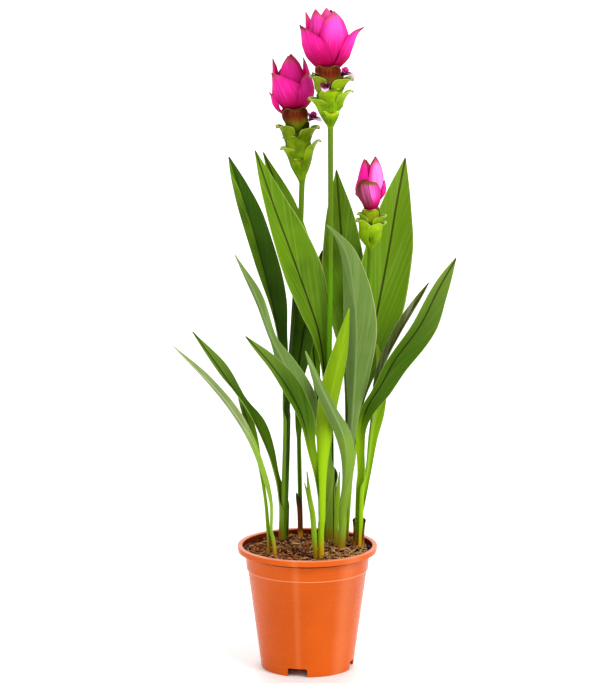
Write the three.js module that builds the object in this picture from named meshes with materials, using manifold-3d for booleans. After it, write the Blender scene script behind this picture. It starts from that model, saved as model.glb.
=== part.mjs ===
// A potted siam tulip: an orange nursery pot filled with bark and coir, its leafy shoots,
// and three flower heads of green cup bracts under pink petal bracts.
// Millimetres, +Z up, the pot's axis on Z and its foot on z = 0. The view from the front looks along +Y.
import * as THREE from "three";
import { mergeVertices } from "three/addons/utils/BufferGeometryUtils.js";
import Module from "manifold-3d";

const wasm = await Module();
wasm.setup();

// The pot
const POT_HEIGHT = 116;
const RIM_RADIUS = 65;
const LIP_HEIGHT = 5.5;
const LIP_INNER_RADIUS = 60.5;
const COLLAR_RADIUS = 58.3;
const COLLAR_FOOT_RADIUS = 56.6;
const COLLAR_DEPTH = 22;
const COLLAR_STEP = 1.2;
const FOOT_RADIUS = 43;
const WALL = 1.4;
const WALL_TOP = POT_HEIGHT - LIP_HEIGHT;
const STEP_Z = POT_HEIGHT - COLLAR_DEPTH;
const FLARE = 3;
const LIP_ROUND = 0.8;
const FLOOR_Z = 9;
const POT_SIDES = 32;
const FOOT_NOTCHES = 4;
const NOTCH_WIDTH = 18.5;
const NOTCH_HEIGHT = 8;
const NOTCH_TURN = 77.5;
const DRAIN_HOLES = 6;
const DRAIN_RADIUS = 5;
const DRAIN_RING = 27;
const BOSS_RADIUS = 8;

// The soil and the stems' holes in it
const SOIL_Z = 110;
const SOIL_SIDES = 30;
const SOIL_BUMP = 1.1;
const HOLE_FLOOR_Z = 99;
const STEM_FOOT_Z = 99.8;
const CLEARANCE = 0.3;

// The leaves
const LEAF_THICKNESS = 0.7;
const SCALE_THICKNESS = 0.6;
const BRACT_THICKNESS = 0.8;
const SHEATH_WRAP = 135;
const MOUTH_WRAP = 80;
const MOUTH_RISE = 12;
const MOUTH_LIFT = 1;
const ACROSS = 6;
const BRACT_ACROSS = 4;
const SCAPE_SIDES = 8;
const SCAPE_RADIUS = 2.5;

const degrees = THREE.MathUtils.degToRad;
const group = new THREE.Group();
group.name = "potted_siam_tulip";

function finish(name, colour, roughness) {
  return new THREE.MeshStandardMaterial({ name, color: colour, roughness, metalness: 0 });
}

const POT_ORANGE = finish("pot_orange", 0xe0662a, 0.35);
const SOIL_BROWN = finish("soil_brown", 0x4a3220, 0.95);
const LEAF_GREEN = finish("leaf_green", 0x4f8a16, 0.45);
const LEAF_DARK = finish("leaf_dark", 0x2f5a0c, 0.45);
const LEAF_LIME = finish("leaf_lime", 0x8cb81a, 0.45);
const LEAF_GREY = finish("leaf_grey", 0x76974a, 0.6);
const SHEATH_BROWN = finish("sheath_brown", 0x6a4420, 0.6);
const SCAPE_GREEN = finish("scape_green", 0x6f9e10, 0.45);
const BRACT_GREEN = finish("bract_green", 0x86b414, 0.5);
const BRACT_PINK = finish("bract_pink", 0xe83aa6, 0.5);
const FLORET_WHITE = finish("floret_white", 0xe9dcf2, 0.5);

// A closed geometry as a solid for joining and cutting, and back again.
function solidOf(geometry) {
  const bare = geometry.index ? geometry.toNonIndexed() : geometry.clone();
  for (const name of Object.keys(bare.attributes)) {
    if (name !== "position") bare.deleteAttribute(name);
  }
  const merged = mergeVertices(bare, 1e-4);
  return new wasm.Manifold(
    new wasm.Mesh({
      numProp: 3,
      vertProperties: merged.attributes.position.array,
      triVerts: new Uint32Array(merged.index.array),
    }),
  );
}

function geometryOf(solid) {
  const { numProp, vertProperties, triVerts } = solid.getMesh();
  const positions = new Float32Array((vertProperties.length / numProp) * 3);
  for (let i = 0; i < positions.length / 3; i++) {
    for (let k = 0; k < 3; k++) positions[3 * i + k] = vertProperties[numProp * i + k];
  }
  const geometry = new THREE.BufferGeometry();
  geometry.setAttribute("position", new THREE.BufferAttribute(positions, 3));
  geometry.setIndex(new THREE.BufferAttribute(new Uint32Array(triVerts), 1));
  return geometry;
}

function place(name, geometry, material) {
  geometry.computeVertexNormals();
  const mesh = new THREE.Mesh(geometry, material);
  mesh.name = name;
  group.add(mesh);
  return mesh;
}

// Fuses several closed geometries into one body.
function fuse(geometries) {
  const [first, ...others] = geometries.map(solidOf);
  const whole = others.reduce((sum, piece) => sum.add(piece), first);
  const shells = whole.decompose().filter((shell) => shell.volume() > 0);
  return geometryOf(shells.reduce((sum, shell) => sum.add(shell)));
}

function cylinder(radius, bottom, top, x, y, sides) {
  const geometry = new THREE.CylinderGeometry(radius, radius, top - bottom, sides);
  geometry.rotateX(Math.PI / 2);
  geometry.translate(x, y, (top + bottom) / 2);
  return geometry;
}

// Turns a profile of [radius, height] points round Z. LatheGeometry turns round Y, so it is stood up.
function turned(profile, sides) {
  const geometry = new THREE.LatheGeometry(profile.map(([r, z]) => new THREE.Vector2(r, z)), sides);
  geometry.rotateX(Math.PI / 2);
  return geometry;
}

// Closed rings of points, joined in order and capped at both ends, as one outward-facing geometry.
function skin(rings) {
  const size = rings[0].length;
  const positions = rings.flat().flatMap((p) => [p.x, p.y, p.z]);
  const index = [];
  for (let i = 0; i + 1 < rings.length; i++) {
    for (let j = 0; j < size; j++) {
      const a = i * size + j;
      const b = i * size + ((j + 1) % size);
      index.push(a, b, b + size, a, b + size, a + size);
    }
  }
  return { positions, index, size };
}

function closedGeometry(positions, index) {
  const geometry = new THREE.BufferGeometry();
  geometry.setAttribute("position", new THREE.Float32BufferAttribute(positions, 3));
  let volume = 0;
  const at = (i) => new THREE.Vector3().fromArray(positions, 3 * i);
  for (let i = 0; i < index.length; i += 3) {
    volume += at(index[i]).dot(at(index[i + 1]).cross(at(index[i + 2])));
  }
  if (volume < 0) index.reverse();
  geometry.setIndex(index);
  return geometry;
}

// A leaf, bract or petal. Each row of its midrib is
// [x, y, z, half-width, fold, wrap, turn]: fold is how far each half is raised from flat at the midrib,
// wrap how far it then curls round by its margin, and turn which way the upper face looks,
// all in degrees, with turn 0 towards -Y and 90 towards +X.
function blade(rows, thickness, across = ACROSS) {
  const curve = new THREE.CatmullRomCurve3(
    rows.map(([x, y, z]) => new THREE.Vector3(x, y, z)),
    false,
    "centripetal",
  );
  const count = rows.length - 1;
  const upper = [];
  const lower = [];
  for (let i = 0; i <= count; i++) {
    const t = i / count;
    const centre = curve.getPoint(t);
    const forward = curve.getTangent(t);
    const halfWidth = rows[i][3];
    const [fold, wrap, turn] = rows[i].slice(4).map(degrees);
    const side = new THREE.Vector3(Math.cos(turn), Math.sin(turn), 0);
    side.addScaledVector(forward, -side.dot(forward)).normalize();
    const face = new THREE.Vector3().crossVectors(side, forward);
    const bend = wrap / halfWidth;
    for (let j = 0; j <= across; j++) {
      const u = ((2 * j) / across - 1) * halfWidth;
      const sign = Math.sign(u);
      const angle = fold + bend * Math.abs(u);
      const out = ((Math.sin(angle) - Math.sin(fold)) / bend) * sign;
      const up = (Math.cos(fold) - Math.cos(angle)) / bend;
      const middle = centre.clone().addScaledVector(side, out).addScaledVector(face, up);
      const tilt = sign === 0 ? 0 : angle;
      const reach = sign === 0 ? thickness / 2 / Math.cos(fold) : thickness / 2;
      const normal = face.clone().multiplyScalar(Math.cos(tilt));
      normal.addScaledVector(side, -sign * Math.sin(tilt));
      upper.push(middle.clone().addScaledVector(normal, reach));
      lower.push(middle.clone().addScaledVector(normal, -reach));
    }
  }
  const points = [...upper, ...lower];
  const under = upper.length;
  const row = across + 1;
  const index = [];
  const quad = (a, b, c, d) => index.push(a, b, c, a, c, d);
  for (let i = 0; i < count; i++) {
    for (let j = 0; j < across; j++) {
      const a = i * row + j;
      quad(a, a + 1, a + row + 1, a + row);
      index.push(under + a, under + a + row + 1, under + a + 1);
      index.push(under + a, under + a + row, under + a + row + 1);
    }
    for (const [a, flip] of [[i * row, 1], [i * row + across, 0]]) {
      const loop = [a, a + row, under + a + row, under + a];
      if (!flip) loop.reverse();
      quad(...loop);
    }
  }
  for (let j = 0; j < across; j++) {
    quad(j + 1, j, under + j, under + j + 1);
    const a = count * row + j;
    quad(a, a + 1, under + a + 1, under + a);
  }
  return closedGeometry(points.flatMap((p) => [p.x, p.y, p.z]), index);
}

// A round solid stem through rows of [x, y, z, radius].
function stem(rows, sides = SCAPE_SIDES) {
  const curve = new THREE.CatmullRomCurve3(
    rows.map(([x, y, z]) => new THREE.Vector3(x, y, z)),
    false,
    "centripetal",
  );
  const count = rows.length - 1;
  const rings = [];
  for (let i = 0; i <= count; i++) {
    const t = i / count;
    const centre = curve.getPoint(t);
    const forward = curve.getTangent(t);
    const across = new THREE.Vector3(0, 1, 0);
    across.addScaledVector(forward, -across.dot(forward)).normalize();
    const sideways = new THREE.Vector3().crossVectors(across, forward);
    const radius = rows[i][3];
    const ring = [];
    for (let j = 0; j < sides; j++) {
      const angle = (2 * Math.PI * j) / sides;
      const point = centre.clone().addScaledVector(sideways, radius * Math.cos(angle));
      ring.push(point.addScaledVector(across, radius * Math.sin(angle)));
    }
    rings.push(ring);
  }
  return capped(rings);
}

// The pot: a turned thin wall with a hollow lip, a raised floor with a boss,
// foot notches and drain holes.
const skirtInside = (z) => FOOT_RADIUS - WALL + ((COLLAR_FOOT_RADIUS - COLLAR_STEP - FOOT_RADIUS) * z) / STEP_Z;

const potProfile = [
  [0, 0],
  [BOSS_RADIUS, 0],
  [BOSS_RADIUS, FLOOR_Z],
  [skirtInside(FLOOR_Z), FLOOR_Z],
  [skirtInside(0), 0],
  [FOOT_RADIUS, 0],
  [COLLAR_FOOT_RADIUS - COLLAR_STEP, STEP_Z - COLLAR_STEP],
  [COLLAR_FOOT_RADIUS, STEP_Z],
  [COLLAR_RADIUS, WALL_TOP - FLARE],
  [LIP_INNER_RADIUS + WALL, WALL_TOP],
  [LIP_INNER_RADIUS + WALL, POT_HEIGHT - WALL],
  [RIM_RADIUS - WALL, POT_HEIGHT - WALL],
  [RIM_RADIUS - WALL, WALL_TOP],
  [RIM_RADIUS, WALL_TOP],
  [RIM_RADIUS, POT_HEIGHT - LIP_ROUND],
  [RIM_RADIUS - LIP_ROUND, POT_HEIGHT],
  [LIP_INNER_RADIUS + LIP_ROUND, POT_HEIGHT],
  [LIP_INNER_RADIUS, POT_HEIGHT - LIP_ROUND],
  [LIP_INNER_RADIUS, WALL_TOP],
  [COLLAR_RADIUS - WALL, WALL_TOP - FLARE],
  [COLLAR_FOOT_RADIUS - WALL, STEP_Z],
  [skirtInside(FLOOR_Z + WALL), FLOOR_Z + WALL],
  [0, FLOOR_Z + WALL],
];

let pot = solidOf(turned(potProfile, POT_SIDES));
const notchShape = new THREE.Shape();
const half = NOTCH_WIDTH / 2;
notchShape.moveTo(-half, -1);
notchShape.lineTo(half, -1);
notchShape.lineTo(half - 1, NOTCH_HEIGHT - 2);
notchShape.quadraticCurveTo(half - 1, NOTCH_HEIGHT, half - 3, NOTCH_HEIGHT);
notchShape.lineTo(3 - half, NOTCH_HEIGHT);
notchShape.quadraticCurveTo(1 - half, NOTCH_HEIGHT, 1 - half, NOTCH_HEIGHT - 2);
for (let i = 0; i < FOOT_NOTCHES; i++) {
  const notch = new THREE.ExtrudeGeometry(notchShape, { depth: 14, bevelEnabled: false, curveSegments: 3 });
  notch.translate(0, 0, FOOT_RADIUS - 8);
  notch.rotateX(Math.PI / 2);
  notch.rotateZ(degrees(NOTCH_TURN + (360 * i) / FOOT_NOTCHES + 90));
  pot = pot.subtract(solidOf(notch));
}
for (let i = 0; i < DRAIN_HOLES; i++) {
  const angle = (2 * Math.PI * i) / DRAIN_HOLES;
  const x = DRAIN_RING * Math.cos(angle);
  const y = DRAIN_RING * Math.sin(angle);
  pot = pot.subtract(solidOf(cylinder(DRAIN_RADIUS, FLOOR_Z - 1, FLOOR_Z + WALL + 1, x, y, 12)));
}
place("pot", geometryOf(pot), POT_ORANGE);

// The shoots: where each stands at soil height, and how far it leans in X and Y for each millimetre up.
const SHOOTS = {
  slender: { at: [-29.5, -24], lean: [-0.08, -0.02], girth: 2.2 },
  sliver: { at: [-35.5, -20], lean: [0, 0.02], girth: 1.8 },
  left: { at: [-22.5, 40], lean: [0.03, 0], girth: 5 },
  thin: { at: [-6, 49], lean: [-0.02, 0], girth: 3.2 },
  front: { at: [12.5, -28], lean: [0, 0], girth: 3.4 },
  fork: { at: [7, -33], lean: [-0.09, -0.06], girth: 1.9 },
  back: { at: [13, 46], lean: [-0.02, 0.02], girth: 2.4 },
  tall: { at: [20.5, 28], lean: [0, 0], girth: 7.4 },
  spear: { at: [26.5, 13], lean: [0.05, 0], girth: 2 },
  grey: { at: [31.5, -2], lean: [0.06, 0], girth: 4 },
  bud: { at: [33.5, 25], lean: [0.07, 0], girth: 5.1 },
  right: { at: [47.8, 6], lean: [0.02, 0], girth: 5.5 },
  edge: { at: [45.8, 17.5], lean: [0.11, 0], girth: 4.3 },
};

function shootAt(name, z) {
  const { at, lean } = SHOOTS[name];
  return [at[0] + lean[0] * (z - SOIL_Z), at[1] + lean[1] * (z - SOIL_Z)];
}

// The soil's surface: a low mound at the back right, and small bumps all over.
function soilHeight(x, y) {
  const mound = 2.5 * Math.exp(-((x - 36) ** 2 + (y - 26) ** 2) / 500);
  const bumps = Math.sin(0.9 * x + 1.3) * Math.sin(0.8 * y) + 0.6 * Math.sin(1.9 * x - 1.1 * y);
  return SOIL_Z + mound + SOIL_BUMP * bumps;
}

const soilSide = [
  [skirtInside(FLOOR_Z + WALL) - CLEARANCE, FLOOR_Z + WALL + CLEARANCE],
  [COLLAR_FOOT_RADIUS - WALL - CLEARANCE, STEP_Z],
  [COLLAR_RADIUS - WALL - CLEARANCE, WALL_TOP - FLARE],
  [LIP_INNER_RADIUS - 3 * CLEARANCE, WALL_TOP - CLEARANCE],
];
const soilRings = soilSide.map(([r, z]) => ringOf(r, SOIL_SIDES, () => z));
for (const r of [53, 44, 34, 24, 14, 4]) {
  soilRings.push(ringOf(r, SOIL_SIDES, soilHeight));
}

function ringOf(radius, sides, height) {
  const ring = [];
  for (let j = 0; j < sides; j++) {
    const angle = (2 * Math.PI * j) / sides;
    const x = radius * Math.cos(angle);
    const y = radius * Math.sin(angle);
    ring.push(new THREE.Vector3(x, y, height(x, y)));
  }
  return ring;
}

function capped(rings) {
  const { positions, index, size } = skin(rings);
  const last = (rings.length - 1) * size;
  for (let j = 1; j + 1 < size; j++) {
    index.push(0, j + 1, j);
    index.push(last, last + j, last + j + 1);
  }
  return closedGeometry(positions, index);
}

let soil = solidOf(capped(soilRings));
for (const name of Object.keys(SHOOTS)) {
  const { lean, girth } = SHOOTS[name];
  const [x, y] = shootAt(name, SOIL_Z - 4);
  const radius = girth + CLEARANCE + 8 * Math.hypot(...lean);
  soil = soil.subtract(solidOf(cylinder(radius, HOLE_FLOOR_Z, SOIL_Z + 12, x, y, 12)));
}
place("soil", geometryOf(soil), SOIL_BROWN);

// The rows of a leaf's sheath, which wraps its shoot from inside the soil up to its mouth
// and opens just above it, before the midrib leaves the shoot.
function sheathRows(shoot, radius, turn, mouth) {
  const levels = [
    [STEM_FOOT_Z, radius, SHEATH_WRAP],
    [mouth - MOUTH_RISE, radius, SHEATH_WRAP],
    [mouth, radius + MOUTH_LIFT, MOUTH_WRAP],
  ];
  return levels.map(([z, reach, wrap]) => {
    const [x, y] = shootAt(shoot, z);
    return [
      x - reach * Math.sin(degrees(turn)),
      y + reach * Math.cos(degrees(turn)),
      z,
      reach * degrees(wrap),
      0,
      wrap,
      turn,
    ];
  });
}

// The leaves. ring is the radius of the sheath round its shoot, turn and mouth are the sheath's,
// and rows carry the midrib on from the mouth to the tip.
const LEAVES = [
  {
    name: "leaf_slender_lime",
    material: LEAF_LIME,
    shoot: "slender",
    ring: 1.7,
    turn: 90,
    mouth: 135,
    rows: [
      [-34.5, -26, 160, 3.2, 20, 80, 85],
      [-41, -32, 187, 5, 30, 30, 80],
      [-54, -43, 224, 7.5, 30, 20, 78],
      [-70, -56, 254, 8, 30, 18, 78],
      [-89, -70, 282, 7, 28, 16, 75],
      [-120, -88, 320, 0.6, 15, 10, 70],
    ],
  },
  {
    name: "leaf_slender_dark",
    material: LEAF_DARK,
    shoot: "sliver",
    ring: 1.3,
    turn: 60,
    mouth: 135,
    rows: [
      [-40, -12, 162, 2.5, 20, 60, 60],
      [-47, 18, 194, 4, 30, 20, 50],
      [-54, 32, 217, 6, 25, 15, 40],
      [-60, 38, 238, 5.5, 25, 15, 30],
      [-66, 42, 257, 0.6, 10, 10, 30],
    ],
  },
  {
    name: "leaf_left_outer",
    material: LEAF_DARK,
    shoot: "left",
    ring: 4.5,
    turn: 45,
    mouth: 148,
    rows: [
      [-30, 42, 170, 5, 10, 55, 60],
      [-37, 38, 196, 7, 20, 30, 60],
      [-47, 31, 222, 9, 20, 25, 60],
      [-62, 22, 248, 6, 30, 20, 60],
      [-80, 15, 277, 8, 20, 20, 50],
      [-106, 6, 316, 0.6, 10, 10, 50],
    ],
  },
  {
    name: "leaf_left_tall",
    material: LEAF_DARK,
    shoot: "left",
    ring: 3.2,
    turn: 45,
    mouth: 235,
    rows: [
      [-22.5, 46, 258, 5, 20, 50, 45],
      [-27, 47, 300, 9, 35, 20, 45],
      [-33, 48, 335, 14, 35, 14, 40],
      [-43, 51, 375, 16, 32, 12, 30],
      [-53, 53, 412, 14, 30, 12, 22],
      [-63, 56, 442, 9, 28, 10, 18],
      [-73, 58, 472, 0.6, 10, 10, 15],
    ],
  },
  {
    name: "leaf_thin_back",
    material: LEAF_DARK,
    shoot: "thin",
    ring: 1.8,
    turn: 0,
    mouth: 215,
    rows: [
      [-9, 51, 240, 4, 20, 50, 0],
      [-9, 50, 265, 7, 18, 22, 0],
      [-6, 49, 292, 11, 14, 14, 0],
      [-1, 49, 322, 12, 14, 14, 5],
      [6, 50, 352, 8, 14, 14, 5],
      [14, 50, 385, 0.6, 10, 10, 5],
    ],
  },
  {
    name: "leaf_front_lime",
    material: LEAF_LIME,
    shoot: "front",
    ring: 2.7,
    turn: -135,
    mouth: 148,
    rows: [
      [14.8, -31.5, 172, 4.5, 0, 60, -150],
      [15.5, -31, 205, 6.2, 5, 50, -160],
      [17.5, -28.5, 235, 10, 8, 45, -165],
      [22, -27, 265, 11.5, 10, 40, -165],
      [29, -24, 295, 9, 12, 30, -165],
      [38, -19, 342, 0.6, 10, 10, -165],
    ],
  },
  {
    name: "leaf_front_dark",
    material: LEAF_DARK,
    shoot: "front",
    ring: 1.8,
    turn: 45,
    mouth: 168,
    rows: [
      [7, -28, 190, 4.5, 10, 60, 45],
      [1, -32, 215, 7, 25, 35, 42],
      [-5, -37, 244, 11.5, 30, 20, 38],
      [-18, -43, 272, 12, 30, 18, 38],
      [-33, -49, 295, 9, 30, 15, 38],
      [-56, -56, 323, 0.6, 10, 10, 38],
    ],
  },
  {
    name: "leaf_tall_outer",
    material: LEAF_GREY,
    shoot: "tall",
    ring: 5,
    turn: 135,
    mouth: 187,
    rows: [
      [13.5, 17, 207, 6, 0, 60, 150],
      [7.5, 5, 230, 9, 15, 40, 165],
      [-6, -8, 262, 12, 15, 30, 175],
      [-20, -13, 288, 10, 18, 25, 175],
      [-33, -14, 314, 5, 25, 20, 160],
      [-46, -14, 350, 6, 22, 18, 150],
      [-66, -16, 391, 0.6, 10, 10, 150],
    ],
  },
  {
    name: "leaf_tall_broad",
    material: LEAF_GREEN,
    shoot: "tall",
    ring: 4,
    turn: 45,
    mouth: 220,
    rows: [
      [16.5, 31, 245, 6.5, 10, 80, 40],
      [15, 30, 278, 8, 20, 45, 34],
      [10, 28, 312, 12.5, 18, 28, 31],
      [2, 25, 338, 19, 18, 22, 30],
      [-7, 23, 364, 23, 18, 22, 29],
      [-19, 20, 398, 20.5, 18, 22, 29],
      [-32, 17, 434, 13, 18, 20, 27],
      [-48, 15, 483, 0.6, 10, 10, 27],
    ],
  },
  {
    name: "leaf_back",
    material: LEAF_GREEN,
    shoot: "back",
    ring: 1.8,
    turn: 0,
    mouth: 215,
    rows: [
      [10, 52, 245, 4, 20, 50, 0],
      [6, 56, 285, 7, 20, 30, 5],
      [0, 60, 330, 12, 18, 20, 10],
      [-8, 61, 375, 15, 16, 18, 15],
      [-20, 60, 420, 12, 16, 16, 20],
      [-41, 59, 476, 0.6, 10, 10, 20],
    ],
  },
  {
    name: "leaf_bud_left",
    material: LEAF_GREEN,
    shoot: "bud",
    ring: 3.2,
    turn: 45,
    mouth: 205,
    rows: [
      [37, 33, 232, 5, 10, 50, 35],
      [39.5, 42, 275, 9, 20, 25, 15],
      [38, 47, 320, 17, 10, 16, 5],
      [34, 49, 365, 20.5, 8, 14, 0],
      [31, 51, 408, 15.5, 8, 14, 0],
      [27, 55, 460, 0.6, 8, 10, 0],
    ],
  },
  {
    name: "leaf_bud_right",
    material: LEAF_GREEN,
    shoot: "bud",
    ring: 4.5,
    turn: -90,
    mouth: 188,
    rows: [
      [47.5, 27, 215, 5.5, 0, 55, -75],
      [52.5, 31, 258, 10, 15, 30, -35],
      [59.5, 34, 300, 19, 10, 18, -8],
      [68, 37, 345, 25, 8, 16, 0],
      [76, 42, 388, 23, 8, 16, 0],
      [83, 48, 430, 14, 8, 16, 0],
      [91, 57, 471, 0.6, 8, 10, 0],
    ],
  },
  {
    name: "leaf_grey_front",
    material: LEAF_GREY,
    shoot: "grey",
    ring: 2.2,
    turn: 180,
    mouth: 165,
    rows: [
      [38, -6, 195, 4.5, 0, 80, 175],
      [41.5, -9, 238, 6, 15, 35, 165],
      [44, -13, 282, 14, 14, 25, 155],
      [45, -17, 322, 18.5, 12, 22, 150],
      [42, -21, 360, 16, 14, 20, 150],
      [35, -25, 394, 9, 18, 15, 150],
      [27, -28, 409, 4, 15, 12, 150],
      [17, -31, 421, 0.6, 10, 10, 150],
    ],
  },
  {
    name: "leaf_grey_narrow",
    material: LEAF_GREY,
    shoot: "grey",
    ring: 3.4,
    turn: 135,
    mouth: 148,
    rows: [
      [35, -10.5, 175, 6, 0, 60, 150],
      [36, -17, 200, 8.5, 15, 45, 165],
      [33, -31, 225, 9, 25, 25, 190],
      [24, -43, 249, 8, 35, 20, 205],
      [12, -53, 277, 6, 35, 18, 210],
      [-2, -64, 311, 0.6, 15, 10, 210],
    ],
  },
  {
    name: "leaf_right_front",
    material: LEAF_DARK,
    shoot: "right",
    ring: 3.6,
    turn: -45,
    mouth: 178,
    rows: [
      [50.5, 9.5, 205, 5, 0, 60, -30],
      [50, 4, 226, 6, 15, 45, -5],
      [55, -1, 246, 8.5, 25, 30, 8],
      [67.5, -9, 269, 12.5, 28, 20, 13],
      [80, -16, 294, 14.5, 28, 16, 15],
      [102.5, -26, 328, 15.5, 28, 14, 15],
      [118, -35, 362, 10, 25, 12, 12],
      [134, -40, 392, 0.6, 10, 10, 10],
    ],
  },
  {
    name: "leaf_edge_brown",
    material: LEAF_DARK,
    shoot: "edge",
    ring: 1.8,
    turn: -90,
    mouth: 180,
    rows: [
      [60, 17, 210, 4, 15, 55, -80],
      [64, 15, 245, 5, 30, 35, -65],
      [71, 9, 283, 6.5, 35, 30, -50],
      [85, 3, 316, 7, 35, 28, -40],
      [100, -3, 344, 4.5, 28, 22, -40],
      [111, -7, 364, 0.6, 10, 10, -40],
    ],
  },
  {
    name: "leaf_edge_lime",
    material: LEAF_LIME,
    shoot: "edge",
    ring: 2.7,
    turn: 0,
    mouth: 150,
    rows: [
      [56.5, 24.5, 178, 3.2, 10, 50, 10],
      [60.5, 26, 210, 5, 15, 30, 10],
      [65, 25, 238, 7.5, 18, 20, 20],
      [67.5, 21, 262, 6.5, 18, 18, 20],
      [67, 19, 282, 4, 18, 15, 20],
      [64.5, 18, 302, 0.6, 10, 10, 20],
    ],
  },
];

for (const { name, material, shoot, ring, turn, mouth, rows } of LEAVES) {
  const all = [...sheathRows(shoot, ring, turn, mouth), ...rows];
  place(name, blade(all, LEAF_THICKNESS), material);
}

// Young leaves still rolled up as solid spears.
const SPEARS = [
  {
    name: "spear_fork",
    material: LEAF_LIME,
    shoot: "fork",
    radius: 1.7,
    rows: [
      [5, -34, 150, 2.6],
      [2, -36, 170, 2],
      [-0.5, -37.5, 194, 0.5],
    ],
  },
  {
    name: "spear_centre",
    material: LEAF_LIME,
    shoot: "spear",
    radius: 1.8,
    rows: [
      [28, 13, 150, 2.4],
      [30, 13, 182, 0.5],
    ],
  },
];

for (const { name, material, shoot, radius, rows } of SPEARS) {
  const z = STEM_FOOT_Z;
  const foot = [...shootAt(shoot, z), z, radius];
  place(name, stem([foot, ...rows]), material);
}

// The scapes, the round stems that carry the flower heads.
const SCAPES = [
  {
    name: "scape_tall",
    shoot: "tall",
    clear: 240,
    rows: [
      [20.3, 25, 300, 2.6],
      [21, 21, 352, 2.5],
      [21.2, 15, 437, 2.4],
      [21, 10, 504, 2.5],
    ],
  },
  {
    name: "scape_left",
    shoot: "left",
    clear: 256,
    rows: [
      [-14.5, 40, 297, 2.5],
      [-11, 40.5, 350, 2.5],
      [-7, 41, 396, 2.5],
      [-5, 42, 449, 2.6],
    ],
  },
  {
    name: "scape_bud",
    shoot: "bud",
    clear: 215,
    rows: [
      [49, 22, 275, 2.5],
      [54, 17, 325, 2.5],
      [57, 13, 361, 2.5],
      [58, 12, 391, 2.6],
    ],
  },
];

for (const { name, shoot, clear, rows } of SCAPES) {
  const inside = [STEM_FOOT_Z, clear - MOUTH_RISE, clear].map((z) => [...shootAt(shoot, z), z, SCAPE_RADIUS]);
  place(name, stem([...inside, ...rows]), SCAPE_GREEN);
}

// Bladeless scale sheaths round the feet of four shoots.
const SCALE_SHEATHS = [
  { name: "sheath_tall", shoot: "tall", ring: 6.8, turn: 0, mouth: 172, tip: 14 },
  { name: "sheath_thin", shoot: "thin", ring: 2.7, turn: 90, mouth: 148, tip: 14 },
  { name: "sheath_edge", shoot: "edge", ring: 3.8, turn: 180, mouth: 132, tip: 8 },
  { name: "sheath_right", shoot: "right", ring: 5, turn: 90, mouth: 128, tip: 12 },
];

for (const { name, shoot, ring, turn, mouth, tip } of SCALE_SHEATHS) {
  const rows = sheathRows(shoot, ring, turn, mouth);
  const [x, y, z] = rows[rows.length - 1];
  const outward = 0.8;
  const end = [x - outward * Math.sin(degrees(turn)), y + outward * Math.cos(degrees(turn)), z + tip];
  place(name, blade([...rows, [...end, 0.8, 0, 10, turn]], SCALE_THICKNESS), SHEATH_BROWN);
}

// A flower head stands on its scape, in a frame of its own: Z runs up the head from the scape's top.
// A bract springs from the head's axis at a compass angle from +X, and its rows give
// [distance out, height, half-width, fold, wrap] and how far it has swung round from that angle.
function bract(angle, base, rows, across = BRACT_ACROSS) {
  const midrib = rows.map(([r, h, halfWidth, fold, wrap, swing = 0]) => {
    const turn = angle + swing;
    const x = r * Math.cos(degrees(turn));
    const y = r * Math.sin(degrees(turn));
    return [x, y, base + h, halfWidth, fold, wrap, turn - 90];
  });
  return blade(midrib, BRACT_THICKNESS, across);
}

// How far a bract of a half-width wraps to follow a circle round the head's axis.
function wrapRound(halfWidth, radius) {
  return THREE.MathUtils.radToDeg(halfWidth / radius);
}

// A green bract wraps the head as a cup and curls out at its tip. It is as wide as belly at the share of its
// rise that low gives: a small share makes a round bowl.
function cupBract([angle, base, reach, rise, width, belly, low = 0.4]) {
  const shoulder = 0.45 * (belly + reach);
  return bract(angle, base, [
    [2.5, 0, 4, 0, 80],
    [belly, low * rise, 0.8 * width, 0, wrapRound(0.8 * width, belly)],
    [shoulder, 0.8 * rise, width, 0, wrapRound(width, shoulder)],
    [0.87 * reach, rise, 0.6 * width, 5, wrapRound(0.6 * width, reach)],
    [reach, 0.98 * rise, 0.8, 5, 10],
  ]);
}

// A pink bract stands up like a petal, bellied out at its middle. Its tip may swing aside,
// and taper is the share of its width that is left just below the tip.
function petalBract([angle, base, belly, reach, rise, width, swing = 0, taper = 0.62]) {
  const waist = 0.78 * belly;
  return bract(angle, base, [
    [3, 0, 4, 0, 60],
    [waist, 0.32 * rise, 0.92 * width, 0, wrapRound(0.92 * width, waist)],
    [belly, 0.56 * rise, width, 4, 50, 0.3 * swing],
    [0.55 * belly + 0.45 * reach, 0.86 * rise, taper * width, 6, 60 * taper, 0.8 * swing],
    [reach, rise, 0.8, 10, 10, swing],
  ]);
}

function axisCore(rows) {
  return stem(rows.map(([z, r]) => [0, 0, z, r]));
}

// A floret: three small lobes opening from a short tube that starts inside a cup.
function floret([angle, out, base, size]) {
  const lobes = [-120, 0, 120].map((turn) =>
    bract(turn, 0, [
      [0.3, 0, 0.8, 0, 60],
      [0.5 * size, 0.65 * size, 0.38 * size, 5, 40],
      [size, size, 0.5, 5, 10],
    ], 2),
  );
  const tube = stem([[0, 0, -0.5 * size, 0.8], [0, 0, 0.2 * size, 0.9]], 6);
  const whole = fuse([tube, ...lobes]);
  whole.rotateY(degrees(50));
  whole.rotateZ(degrees(angle));
  whole.translate(out * Math.cos(degrees(angle)), out * Math.sin(degrees(angle)), base);
  return whole;
}

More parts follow.
